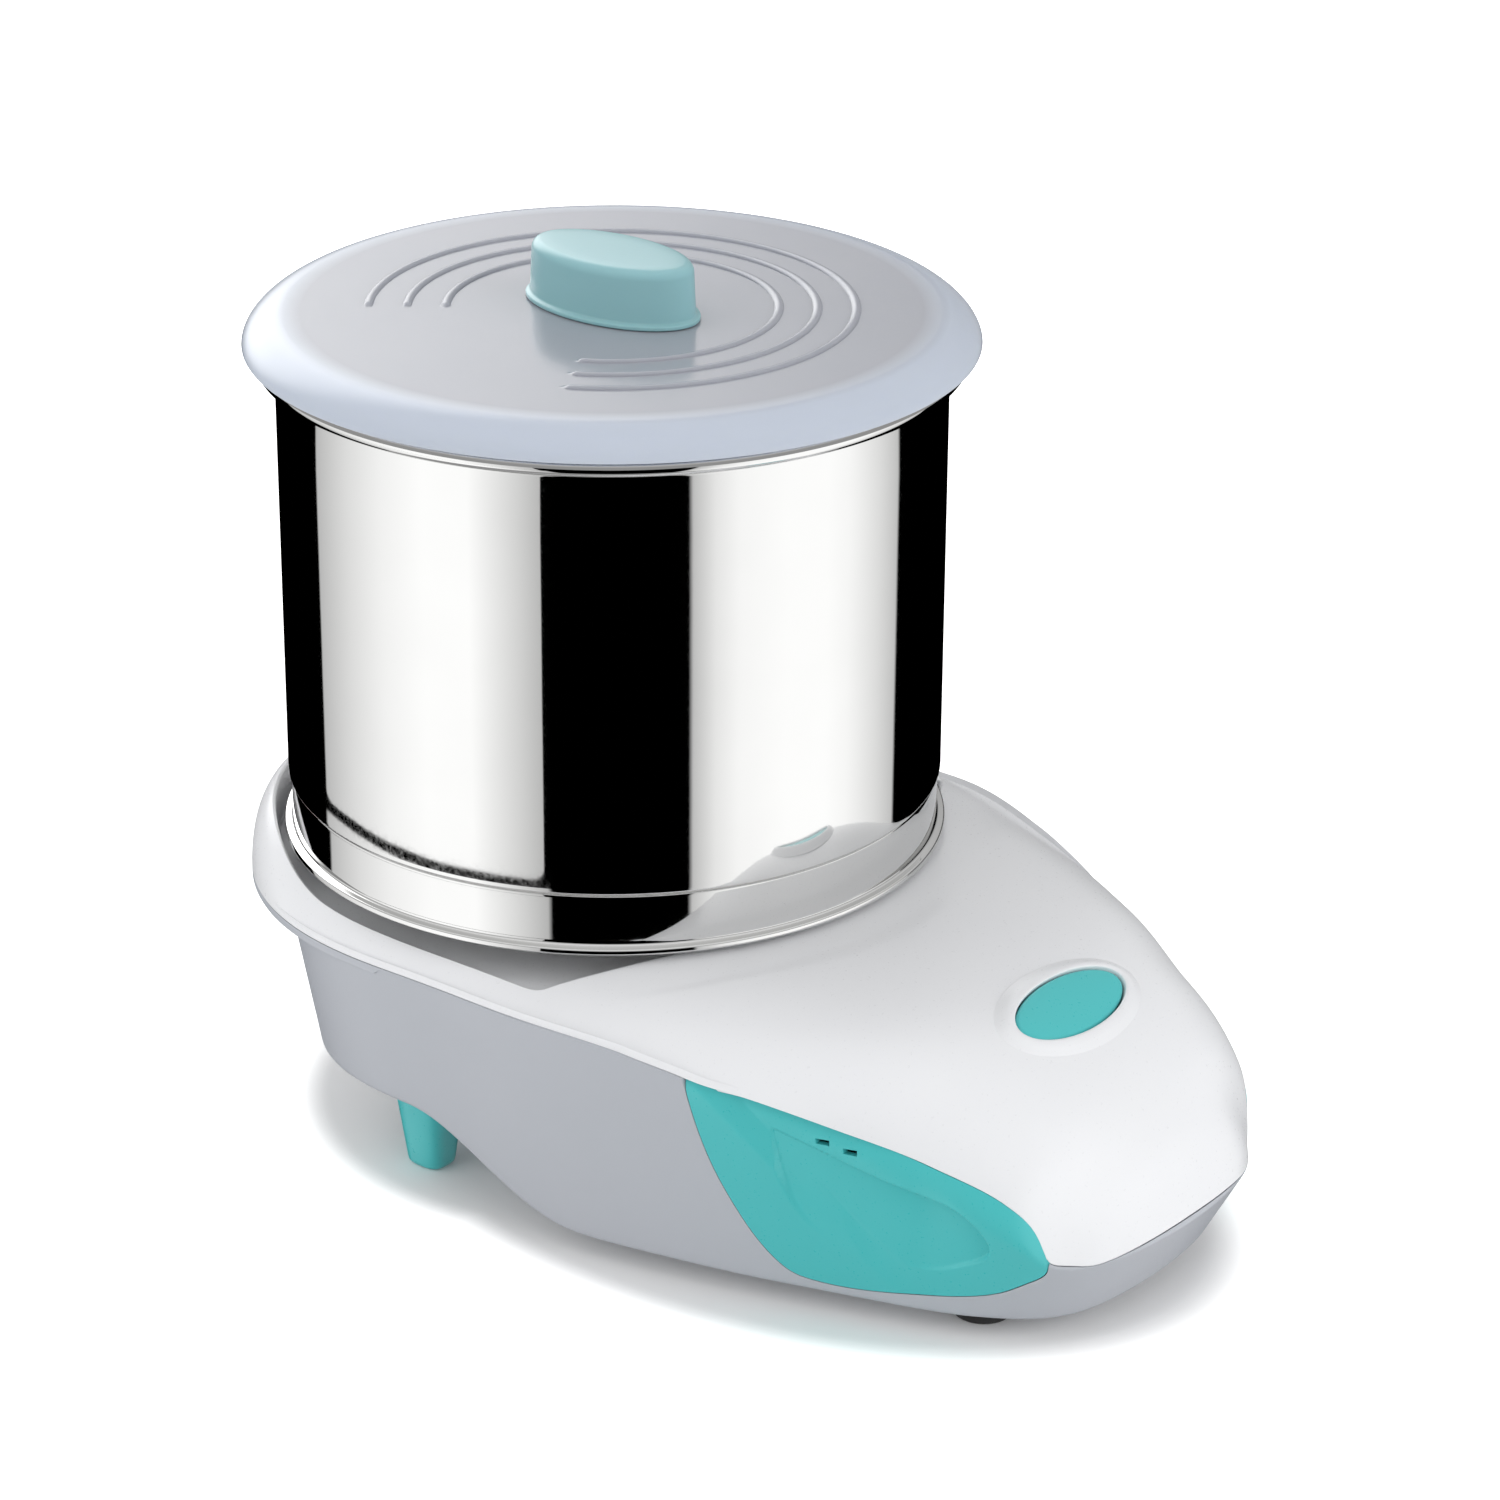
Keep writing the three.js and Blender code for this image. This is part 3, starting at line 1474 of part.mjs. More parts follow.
function cordGland() {
  const face = glandWall() + fit.seat;
  const { bore, radius, flangeRadius, flange, inside } = gland;
  return turned([
    [bore, face - pan.wall - inside],
    [radius, face - pan.wall - inside],
    [radius, face],
    [flangeRadius, face],
    [flangeRadius, face + flange],
    [bore, face + flange],
    [bore, face - pan.wall - inside],
  ]).rotateX(-Math.PI / 2);
}

// Materials

function finish(color, roughness, metalness = 0) {
  return () => new THREE.MeshStandardMaterial({ color, roughness, metalness });
}

const whitePlastic = finish(0xeeeff1, 0.3);
const greyPlastic = finish(0xb2b6bd, 0.4);
const tealPlastic = finish(0x4fbdbc, 0.3);
const handlePlastic = finish(0x93c6cb, 0.25);
const milkyPlastic = finish(0xc4c5d2, 0.25);
const blackPlastic = finish(0x26282b, 0.55);
const naturalNylon = finish(0xe4e0d4, 0.5);
const rubber = finish(0x2b2b2c, 0.85);
const mirrorSteel = finish(0xd7d8da, 0.08, 1);
const brightSteel = finish(0xc3c5c8, 0.3, 1);
const castAluminium = finish(0xa9acb0, 0.55, 0.9);
const granite = finish(0x57585b, 0.75);
const copper = finish(0xb4692f, 0.45, 0.8);
const laminations = finish(0x6c6f74, 0.5, 0.8);
const capacitorFilm = finish(0x3f6f9c, 0.4);

// Assembly

const grinder = new THREE.Group();
grinder.name = 'wet_grinder';

const aboutDrum = new THREE.Group();
aboutDrum.position.y = (noseTip - rimRearReach) / 2;
grinder.add(aboutDrum);

const aboutMotor = new THREE.Group();
aboutMotor.position.y = -motor.ahead;
aboutDrum.add(aboutMotor);

const aboutButton = new THREE.Group();
aboutButton.position.set(0, -button.ahead, buttonHeight);
aboutButton.rotation.x = buttonAngle;
aboutDrum.add(aboutButton);

function addPiece(name, shape, material, place = {}) {
  const geometry = shape.isBufferGeometry ? shape : geometryOf(shape);
  const mesh = new THREE.Mesh(geometry, material());
  mesh.name = name;
  mesh.position.set(place.x ?? 0, place.y ?? 0, place.z ?? 0);
  (place.group ?? aboutDrum).add(mesh);
  return mesh;
}

function addBase() {
  addPiece('base_pan', basePan(), greyPlastic);
  addPiece('top_cover', topCover(), whitePlastic);
  [['left', -1], ['right', 1]].forEach(([name, side]) => {
    addPiece(`side_panel_${name}`, sidePanel(side), tealPlastic);
    addPiece(`rear_foot_${name}`, rearFoot(), tealPlastic,
      { x: side * (floorHalfWidth - foot.inset), y: foot.behind });
    addPiece(`front_pad_${name}`, turnedDisc(pad.radius, 0, pan.floorHeight - fit.seat), rubber,
      { x: side * pad.side, y: -pad.ahead });
  });
  caseScrews.forEach(({ x, y, under }, index) => {
    const length = boss.joint + boss.bite - under - headSeat - fit.seat;
    addPiece(`case_screw_${index + 1}`, slottedScrew(length), brightSteel, { x, y, z: under + fit.seat });
  });
}

function addSwitch() {
  addPiece('start_button', startButton(), tealPlastic, { group: aboutButton });
  addPiece('button_spring', buttonSpring(), brightSteel, { group: aboutButton });
  addPiece('start_switch', startSwitch(), blackPlastic, { group: aboutButton });
}

function addElectrics() {
  const canPlace = { x: floorHalfWidth - capacitor.inset, y: -capacitor.ahead };
  const blockPlace = { x: terminals.inset - floorHalfWidth, y: -terminals.ahead };
  addPiece('capacitor', capacitorCan(), capacitorFilm, canPlace);
  addPiece('capacitor_strap', capacitorStrap(), brightSteel, canPlace);
  addPiece('terminal_block', terminalBlock(), naturalNylon, blockPlace);
  addPiece('cord_gland', cordGland(), blackPlastic, { x: gland.side, z: glandHeight });
}

function addMotor() {
  const group = aboutMotor;
  addPiece('motor_lower_bell', lowerBell(), castAluminium, { group });
  addPiece('motor_stator', turnedRing(motor.rotorRadius + motor.airGap, motor.radius, stackBottom,
    stackTop), laminations, { group });
  [['lower', stackBottom - fit.seat - motor.windingHeight], ['upper', stackTop + fit.seat]]
    .forEach(([name, bottom]) => addPiece(`motor_winding_${name}`, turnedRing(motor.windingInner,
      motor.windingOuter, bottom, bottom + motor.windingHeight), copper, { group }));
  addPiece('motor_upper_bell', upperBell(), castAluminium, { group });
  addPiece('motor_rotor', motorRotor(), brightSteel, { group });
  addPiece('motor_fan', coolingFan(), blackPlastic, { group });
  addPiece('motor_pulley', motorPulley(), brightSteel, { group });
  motorScrews.forEach(({ x, y, under }, index) => {
    addPiece(`motor_mount_${index + 1}`, turnedRing(screwHole, motor.mountRadius, mountBottom,
      motorBottom - fit.seat, sides.small), rubber, { x, y });
    const length = motorBottom + motor.wall - under;
    addPiece(`motor_screw_${index + 1}`, slottedScrew(length), brightSteel, { x, y, z: under + fit.seat });
  });
}

function addDrive() {
  addPiece('drive_belt', driveBelt(), rubber);
  addPiece('drive_pulley', drivePulley(), castAluminium);
  addPiece('drive_bearing_lower', driveBearing(shaftBossTop + fit.seat), brightSteel);
  addPiece('drive_bearing_upper', driveBearing(wheelHubTop - bearing.height), brightSteel);
  addPiece('shaft_base', shaftBaseBody(), castAluminium);
  addPiece('centre_shaft', centreShaft(), brightSteel);
  addPiece('drive_hub', driveHub(), castAluminium);
  addPiece('hub_seal', hubSeal(), rubber);
  hubScrews.forEach(({ x, y }, index) => {
    const length = hubTop - wheelHubTop + hub.screwBite;
    const mesh = addPiece(`hub_screw_${index + 1}`, slottedScrew(length), brightSteel,
      { x, y, z: hubTop - fit.seat });
    mesh.rotation.x = Math.PI;
  });
}

function addDrum() {
  addPiece('drum_shell', drumShell(), mirrorSteel);
  addPiece('drum_base_ring', drumBaseRing(), mirrorSteel);
  addPiece('drum_coupling', drumCoupling(), naturalNylon);
  addPiece('drum_centre_tube', centreTube(), brightSteel);
  addPiece('drum_base_stone', baseStoneBody(), granite);
}

function addMill() {
  addPiece('stone_carrier', stoneCarrier(), brightSteel);
  [['left', -1], ['right', 1]].forEach(([name, side]) => {
    addPiece(`roller_axle_${name}`, rollerAxle(side), brightSteel);
    addPiece(`roller_bush_${name}`, rollerBush(side), naturalNylon);
    addPiece(`roller_stone_${name}`, rollerStone(side), granite);
  });
  addPiece('batter_scraper', batterScraper(), naturalNylon);
  addPiece('carrier_lock_knob', lockKnob(), blackPlastic);
}

function addLid() {
  addPiece('lid', lidBody(), milkyPlastic);
  addPiece('lid_handle', lidHandle(), handlePlastic);
}

addBase();
addSwitch();
addElectrics();
addMotor();
addDrive();
addDrum();
addMill();
addLid();

export default grinder;
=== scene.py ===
import math

import bpy
import numpy as np
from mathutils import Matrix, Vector


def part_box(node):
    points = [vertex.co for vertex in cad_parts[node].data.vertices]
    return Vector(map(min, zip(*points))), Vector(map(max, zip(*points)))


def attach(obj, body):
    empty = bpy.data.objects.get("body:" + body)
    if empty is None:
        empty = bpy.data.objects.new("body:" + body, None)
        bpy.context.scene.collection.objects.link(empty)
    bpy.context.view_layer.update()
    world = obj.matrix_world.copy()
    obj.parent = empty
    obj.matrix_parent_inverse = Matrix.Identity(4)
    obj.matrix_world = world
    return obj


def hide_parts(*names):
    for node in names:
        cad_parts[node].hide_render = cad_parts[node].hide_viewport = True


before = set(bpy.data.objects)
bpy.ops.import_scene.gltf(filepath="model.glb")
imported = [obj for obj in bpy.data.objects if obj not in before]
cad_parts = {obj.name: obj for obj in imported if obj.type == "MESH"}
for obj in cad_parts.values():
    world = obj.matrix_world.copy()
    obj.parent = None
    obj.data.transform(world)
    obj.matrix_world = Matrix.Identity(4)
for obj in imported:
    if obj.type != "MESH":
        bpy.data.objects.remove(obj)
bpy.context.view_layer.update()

# A table-top wet grinder. Its sizes are written in millimetres from the drum's axis and turned to
# metres in the frame when a mesh is made. The nose points to -Y.
mm = 0.001
drumLow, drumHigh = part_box("drum_shell")
axisY = (drumLow.y + drumHigh.y) / 2


def atPlace(x, y, z):
    return Vector((x * mm, axisY + y * mm, z * mm))


# Camera, at the photograph's angle

cameraView = {
    "place": (-1118.5, -964.5, 785.0),
    "forward": (0.7099, 0.5749, -0.4069),
    "up": (0.3162, 0.2561, 0.9135),
    "roll": 0.40,  # degrees
    "lens": 114.77,
}


def addCamera():
    data = bpy.data.cameras.new("photoCamera")
    data.lens = cameraView["lens"]
    data.sensor_width = 36
    data.clip_end = 50
    camera = bpy.data.objects.new("photoCamera", data)
    bpy.context.scene.collection.objects.link(camera)
    forward = Vector(cameraView["forward"]).normalized()
    right = forward.cross(Vector(cameraView["up"])).normalized()
    up = right.cross(forward)
    turn = math.radians(cameraView["roll"])
    tiltedRight = right * math.cos(turn) + up * math.sin(turn)
    tiltedUp = up * math.cos(turn) - right * math.sin(turn)
    matrix = camera.matrix_world.copy()
    for row in range(3):
        matrix[row][0] = tiltedRight[row]
        matrix[row][1] = tiltedUp[row]
        matrix[row][2] = -forward[row]
    matrix.translation = atPlace(*cameraView["place"])
    camera.matrix_world = matrix
    bpy.context.scene.camera = camera
    bpy.context.scene.view_settings.view_transform = "Standard"


addCamera()
print("camera placed")


# Nodes and colours

def linearColour(code):
    # An sRGB hex value as linear light
    values = [int(code[place:place + 2], 16) / 255 for place in (1, 3, 5)]
    return [v / 12.92 if v <= 0.04045 else ((v + 0.055) / 1.055) ** 2.4 for v in values] + [1.0]


def addNode(tree, kind, inputs=(), **settings):
    # Inputs come in their order or by name, and a node among them is linked by its first output.
    node = tree.nodes.new("ShaderNode" + kind)
    for key, value in settings.items():
        setattr(node, key, value)
    for key, value in inputs.items() if isinstance(inputs, dict) else enumerate(inputs):
        if isinstance(value, bpy.types.Node):
            value = value.outputs[0]
        if isinstance(value, bpy.types.NodeSocket):
            tree.links.new(value, node.inputs[key])
        else:
            node.inputs[key].default_value = value
    return node


def newMaterial(name):
    material = bpy.data.materials.new(name)
    material.use_nodes = True
    tree = material.node_tree
    tree.nodes.clear()
    return material, tree, addNode(tree, "TexCoord").outputs["Object"]


def planDistance(tree, coordinates, centre, halves):
    # Distance in plan from a centre, in half widths of an oval
    fromCentre = addNode(tree, "VectorMath", [coordinates, (-centre[0], -centre[1], 0.0)],
                         operation="ADD")
    flat = addNode(tree, "VectorMath", [fromCentre, (1 / halves[0], 1 / halves[1], 0.0)],
                   operation="MULTIPLY")
    return addNode(tree, "VectorMath", [flat], operation="LENGTH").outputs["Value"]


def driftingColour(tree, coordinates, first, second, size, detail):
    # Two colours that drift into each other, in patches about that many millimetres across
    drift = addNode(tree, "TexNoise", {
        "Vector": coordinates, "Scale": 1 / (size * mm), "Detail": detail})
    mix = addNode(tree, "Mix", {
        "Factor": drift, 6: linearColour(first), 7: linearColour(second)}, data_type="RGBA")
    return mix.outputs[2]


def closeSurface(tree, colour, roughness, height, depth, others={}):
    # The depth of the relief is in millimetres.
    bump = addNode(tree, "Bump", {"Height": height, "Distance": depth * mm, "Strength": 1.0})
    shader = addNode(tree, "BsdfPrincipled", {
        "Base Color": colour, "Roughness": roughness, "Normal": bump, **others})
    addNode(tree, "OutputMaterial", {"Surface": shader})


def grainedSurface(tree, coordinates, colour, roughness, grain, depth, others={}, relief=None):
    # Roughness and relief follow a grain, given as size in millimetres, detail and harshness, and
    # relief can have its own. Moulded and cast grain is finer than this and is drawn coarser, so
    # that it shows. Noise keeps mostly between 0.3 and 0.7.
    noises = [addNode(tree, "TexNoise", {
        "Vector": coordinates, "Scale": 1 / (size * mm), "Detail": detail, "Roughness": harshness})
        for size, detail, harshness in (grain, relief or grain)]
    rough = addNode(tree, "MapRange", [noises[0], 0.3, 0.7, *roughness])
    closeSurface(tree, colour, rough, noises[1], depth, others)


def mouldedAbs(name, colour, shade, roughness, grain, depth):
    # ABS from a polished or lightly sparked mould: even colour, soft highlight, faint orange peel.
    material, tree, coordinates = newMaterial(name)
    body = driftingColour(tree, coordinates, colour, shade, 60, 3)
    grainedSurface(tree, coordinates, body, (roughness - 0.03, roughness + 0.04), (grain, 3, 0.5),
                   depth, {"IOR": 1.53})
    return material


def milkyPolypropylene(name, colour, shade, roughness, depth, rim=None):
    # Natural polypropylene, moulded: light enters it, so its shadows are soft and its edges glow.
    # The rim can be painted lighter from one radius to another: a painted glow where light comes
    # through it from below.
    material, tree, coordinates = newMaterial(name)
    body = driftingColour(tree, coordinates, colour, shade, 45, 3)
    if rim:
        rimGlowColour, inner, outer = rim
        radius = planDistance(tree, coordinates, (0.0, axisY), (1.0, 1.0))
        share = addNode(tree, "MapRange", [radius, inner * mm, outer * mm, 0, 1])
        # Painted glow: between the two radii the body colour turns to the rim's lighter colour.
        body = addNode(tree, "Mix", {
            "Factor": share, 6: body, 7: linearColour(rimGlowColour)}, data_type="RGBA").outputs[2]
    grainedSurface(
        tree, coordinates, body, (roughness - 0.02, roughness + 0.03), (2.2, 2, 0.5), 0.01,
        {"IOR": 1.49, "Subsurface Weight": 0.35, "Subsurface Radius": (1.0, 1.0, 1.2),
         "Subsurface Scale": depth * mm})
    return material


def polishedStainless(name):
    # Stainless sheet, buffed to a mirror: clear reflections, a very faint ripple of the drawn metal.
    material, tree, coordinates = newMaterial(name)
    body = driftingColour(tree, coordinates, "#E4E4E3", "#DEDEDD", 35, 2)
    grainedSurface(tree, coordinates, body, (0.02, 0.045), (1.2, 2, 0.5), 0.02, {"Metallic": 1.0},
                   relief=(35, 2, 0.5))
    return material


def turnedSteel(name, colour, roughness):
    # Steel turned or drawn bright: short, soft reflections with fine lathe rings.
    material, tree, coordinates = newMaterial(name)
    body = driftingColour(tree, coordinates, colour, "#A9ABAE", 12, 3)
    stretched = addNode(tree, "Mapping", {"Vector": coordinates, "Scale": (0.15, 0.15, 3.0)})
    grainedSurface(tree, stretched, body, (roughness - 0.06, roughness + 0.08), (0.9, 2, 0.5), 0.01,
                   {"Metallic": 1.0})
    return material


def castAluminium(name):
    # Die-cast aluminium, left as cast: dull, a little grainy, darker where the skin is thin.
    material, tree, coordinates = newMaterial(name)
    body = driftingColour(tree, coordinates, "#B4B6B9", "#8E9195", 9, 4)
    grainedSurface(tree, coordinates, body, (0.45, 0.62), (0.8, 3, 0.5), 0.06, {"Metallic": 0.9})
    return material


def groundGranite(name):
    # Black granite, ground but not polished: dark grain with pale crystals about 2 mm across.
    material, tree, coordinates = newMaterial(name)
    crystals = addNode(tree, "TexVoronoi", {"Vector": coordinates, "Scale": 1 / (2.0 * mm)})
    grey = addNode(tree, "SeparateColor", {"Color": crystals.outputs["Color"]})
    speckle = addNode(tree, "ValToRGB", [grey])
    ramp = speckle.color_ramp
    ramp.elements[0].color = linearColour("#3A3B3D")
    ramp.elements[1].color = linearColour("#B9B8B4")
    for place, code in ((0.45, "#4A4B4E"), (0.72, "#6B6C6E"), (0.9, "#8F8F8E")):
        ramp.elements.new(place).color = linearColour(code)
    ramp.interpolation = "CONSTANT"
    grainedSurface(tree, coordinates, speckle, (0.55, 0.8), (0.7, 4, 0.7), 0.12)
    return material


def mouldedRubber(name):
    # Moulded rubber: almost black, matt, with a dry bloom.
    material, tree, coordinates = newMaterial(name)
    body = driftingColour(tree, coordinates, "#242425", "#343434", 6, 4)
    grainedSurface(tree, coordinates, body, (0.75, 0.92), (0.6, 3, 0.5), 0.04)
    return material


def bandedMetal(name, colours, pitch, distortion, roughness, depth, metallic):
    # Level bands in colour and relief, a third of the pitch apart. Enamelled copper wire is warm and
    # its turns, 1 mm apart, are uneven ridges. Stamped steel sheets in a stack are dark grey with a
    # straight edge line each, drawn 2 mm apart, coarser than the real half millimetre, to show.
    material, tree, coordinates = newMaterial(name)
    bands = addNode(tree, "TexWave", {
        "Vector": coordinates, "Scale": 1 / (pitch * mm), "Distortion": distortion, "Detail": 1.0},
        wave_type="BANDS", bands_direction="Z").outputs["Fac"]
    low, high = [linearColour(code) for code in colours]
    body = addNode(tree, "Mix", {"Factor": bands, 6: low, 7: high}, data_type="RGBA").outputs[2]
    closeSurface(tree, body, roughness, bands, depth, {"Metallic": metallic})
    return material


finishes = {
    "white_plastic": mouldedAbs("whiteMouldedAbs", "#EDEEF0", "#E9EAED", 0.3, 0.9, 0.004),
    "grey_plastic": mouldedAbs("greyMouldedAbs", "#BABDC4", "#B5B9C0", 0.38, 0.9, 0.006),
    "teal_plastic": mouldedAbs("tealMouldedAbs", "#4CC3C4", "#48BEC0", 0.3, 0.9, 0.004),
    "black_plastic": mouldedAbs("blackMouldedAbs", "#232427", "#2B2C2F", 0.5, 0.8, 0.02),
    "natural_nylon": mouldedAbs("naturalNylon", "#E6E2D6", "#DDD8CA", 0.48, 1.2, 0.01),
    "capacitor_film": mouldedAbs("shrinkFilm", "#40709C", "#3A6690", 0.38, 1.4, 0.01),
    # The lid's lighter rim colour, from 101 to 110 mm out, is a painted glow.
    "milky_plastic": milkyPolypropylene("milkyPolypropylene", "#A0A2AA", "#9B9EA7", 0.16, 6,
                                        ("#BEC6D4", 101, 110)),
    "handle_plastic": milkyPolypropylene("tintedPolypropylene", "#90BCC1", "#8BB8BE", 0.2, 4),
    "mirror_steel": polishedStainless("polishedStainless"),
    "bright_steel": turnedSteel("turnedSteel", "#C9CACC", 0.28),
    "cast_aluminium": castAluminium("castAluminium"),
    "granite": groundGranite("groundGranite"),
    "rubber": mouldedRubber("mouldedRubber"),
    "copper": bandedMetal("enamelledWire", ("#8A4A1E", "#C67A3C"), 3.0, 1.5, 0.35, 0.15, 0.8),
    "laminations": bandedMetal("stackedSheets", ("#55585C", "#7D8085"), 6.0, 0.0, 0.5, 0.05, 0.85),
}
print("finishes made")

# What a CAD node keeps when no finer piece stands for it
nodeFinishes = {
    "bright_steel": ["case_screw_1", "case_screw_2", "case_screw_3", "case_screw_4", "button_spring",
                     "capacitor_strap", "motor_rotor", "motor_pulley", "motor_screw_1",
                     "motor_screw_2", "motor_screw_3", "drive_bearing_lower", "drive_bearing_upper",
                     "centre_shaft", "hub_screw_1", "hub_screw_2", "hub_screw_3",
                     "drum_centre_tube", "stone_carrier", "roller_axle_left", "roller_axle_right"],
    "cast_aluminium": ["motor_lower_bell", "motor_upper_bell", "drive_pulley", "shaft_base",
                       "drive_hub"],
    "black_plastic": ["start_switch", "cord_gland", "motor_fan", "carrier_lock_knob"],
    "natural_nylon": ["terminal_block", "drum_coupling", "roller_bush_left", "roller_bush_right",
                      "batter_scraper"],
    "rubber": ["front_pad_left", "front_pad_right", "motor_mount_1", "motor_mount_2",
               "motor_mount_3", "drive_belt", "hub_seal"],
    "granite": ["drum_base_stone", "roller_stone_left", "roller_stone_right"],
    "copper": ["motor_winding_lower", "motor_winding_upper"],
    "laminations": ["motor_stator"],
    "capacitor_film": ["capacitor"],
    "white_plastic": ["top_cover"],
    "grey_plastic": ["base_pan"],
    "teal_plastic": ["side_panel_left", "side_panel_right", "rear_foot_left", "rear_foot_right",
                     "start_button"],
    "milky_plastic": ["lid"],
    "handle_plastic": ["lid_handle"],
    "mirror_steel": ["drum_shell", "drum_base_ring"],
}


def giveFinish(obj, slotName):
    obj.data.materials.clear()
    obj.data.materials.append(finishes[slotName])


for slotName, names in nodeFinishes.items():
    for name in names:
        giveFinish(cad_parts[name], slotName)


# Making and finishing meshes

def chooseOnly(obj):
    bpy.ops.object.select_all(action="DESELECT")
    obj.select_set(True)
    bpy.context.view_layer.objects.active = obj


def tidyMesh(obj):
    chooseOnly(obj)
    bpy.ops.object.mode_set(mode="EDIT")
    bpy.ops.mesh.select_all(action="SELECT")
    bpy.ops.mesh.remove_doubles(threshold=0.00001)
    bpy.ops.mesh.dissolve_degenerate(threshold=0.000005)
    bpy.ops.mesh.select_all(action="SELECT")
    bpy.ops.mesh.normals_make_consistent(inside=False)
    bpy.ops.object.mode_set(mode="OBJECT")


def applyModifier(obj, kind, **settings):
    chooseOnly(obj)
    modifier = obj.modifiers.new(kind.lower(), kind)
    for key, value in settings.items():
        setattr(modifier, key, value)
    bpy.ops.object.modifier_apply(modifier=modifier.name)


def cutAway(obj, tool, operation="DIFFERENCE"):
    applyModifier(obj, "BOOLEAN", object=tool, operation=operation, solver="EXACT")
    bpy.data.objects.remove(tool)


def joinPieces(first, others):
    chooseOnly(first)
    for other in others:
        other.select_set(True)
    bpy.ops.object.join()
    return first


def finishPiece(obj, slotName, body, nodes, angle=32):
    chooseOnly(obj)
    bpy.ops.object.transform_apply(location=True, rotation=True, scale=True)
    bpy.ops.object.shade_smooth_by_angle(angle=math.radians(angle))
    giveFinish(obj, slotName)
    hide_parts(*nodes)
    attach(obj, body)
    print("piece", obj.name, len(obj.data.polygons), "faces")
    return obj


def roundedProfile(points, steps=5):
    # Corners with a third value are rounded to that radius, in millimetres.
    result = []
    for place, point in enumerate(points):
        corner = np.array(point[:2], float)
        if len(point) < 3 or place in (0, len(points) - 1):
            result.append(tuple(corner))
            continue
        back = np.array(points[place - 1][:2], float) - corner
        ahead = np.array(points[place + 1][:2], float) - corner
        back, ahead = back / np.linalg.norm(back), ahead / np.linalg.norm(ahead)
        half = math.acos(np.clip(back @ ahead, -1, 1)) / 2
        middle = (back + ahead) / np.linalg.norm(back + ahead)
        centre = corner + middle * point[2] / math.sin(half)
        start = corner + back * point[2] / math.tan(half) - centre
        end = corner + ahead * point[2] / math.tan(half) - centre
        sweep = math.pi - 2 * half
        for step in range(steps + 1):
            share = step / steps
            arm = math.sin((1 - share) * sweep) * start + math.sin(share * sweep) * end
            result.append(tuple(centre + arm / math.sin(sweep)))
    return result


def ringBody(name, rings, count, closed=False, power=2.0):
    # A circle is extruded and resized from ring to ring. Each ring is two half widths and a height.
    # A closed body comes back to its first ring; an open one starts and ends with a flat face.
    bpy.ops.object.select_all(action="DESELECT")
    bpy.ops.mesh.primitive_circle_add(vertices=count, radius=mm, location=(0, 0, 0),
                                      fill_type="NOTHING" if closed else "NGON")
    obj = bpy.context.object
    obj.name = name
    bpy.ops.object.mode_set(mode="EDIT")
    bpy.ops.mesh.select_all(action="SELECT")
    width, length, height = rings[0]
    bpy.ops.transform.resize(value=(width, length, 1))
    bpy.ops.transform.translate(value=(0, 0, height * mm))
    for nextWidth, nextLength, nextHeight in rings[1:]:
        rise = (0, 0, (nextHeight - height) * mm)
        bpy.ops.mesh.extrude_region_move(TRANSFORM_OT_translate={"value": rise})
        bpy.ops.transform.resize(value=(nextWidth / width, nextLength / length, 1),
                                 center_override=(0, 0, nextHeight * mm))
        width, length, height = nextWidth, nextLength, nextHeight
    bpy.ops.object.mode_set(mode="OBJECT")
    if power != 2.0:
        for vertex in obj.data.vertices:
            turn = math.atan2(vertex.co.y * rings[0][0], vertex.co.x * rings[0][1])
            square = (abs(math.cos(turn)) ** power + abs(math.sin(turn)) ** power) ** (-1 / power)
            vertex.co.x *= square
            vertex.co.y *= square
    tidyMesh(obj)
    return obj


def turnedBody(name, profile, count=192, closed=True):
    rings = [(radius, radius, height) for radius, height in profile]
    if closed:
        rings.append(rings[0])
    return ringBody(name, rings, count, closed)


def standAt(obj, x=0.0, y=0.0, z=0.0):
    obj.location = atPlace(x, y, z)
    return obj


def skin(name, rows):
    # Faces between rounds of points: the mouldings are drawn from their sections, as no primitive
    # comes near them.
    rows = np.asarray(rows, float)
    roundCount, pointCount = rows.shape[:2]
    points = rows.reshape(-1, 3) * mm
    points[:, 1] += axisY
    here = np.arange(pointCount)
    after = (here + 1) % pointCount
    faces = []
    for level in range(roundCount - 1):
        low, high = level * pointCount, (level + 1) * pointCount
        faces.extend(zip((low + here).tolist(), (low + after).tolist(), (high + after).tolist(),
                         (high + here).tolist()))
    mesh = bpy.data.meshes.new(name)
    mesh.from_pydata(points.tolist(), [], faces)
    obj = bpy.data.objects.new(name, mesh)
    bpy.context.scene.collection.objects.link(obj)
    tidyMesh(obj)
    return obj


def prism(name, outline, low, high):
    # An outline seen from the side, in millimetres, drawn along X through the piece that it will cut
    bpy.ops.object.select_all(action="DESELECT")
    bpy.ops.mesh.primitive_circle_add(vertices=len(outline), radius=mm, fill_type="NGON")
    obj = bpy.context.object
    obj.name = name
    for vertex, (y, z) in zip(obj.data.vertices, outline):
        vertex.co = atPlace(low, y, z)
    bpy.ops.object.mode_set(mode="EDIT")
    bpy.ops.mesh.select_all(action="SELECT")
    bpy.ops.mesh.extrude_region_move(TRANSFORM_OT_translate={"value": ((high - low) * mm, 0, 0)})
    bpy.ops.mesh.select_all(action="SELECT")
    bpy.ops.mesh.normals_make_consistent(inside=False)
    bpy.ops.object.mode_set(mode="OBJECT")
    return obj


# Surfaces of the base, from its sections. Distances ahead of the axis are shares of noseTip in
# the tables, and heights are shares of fullHeight.

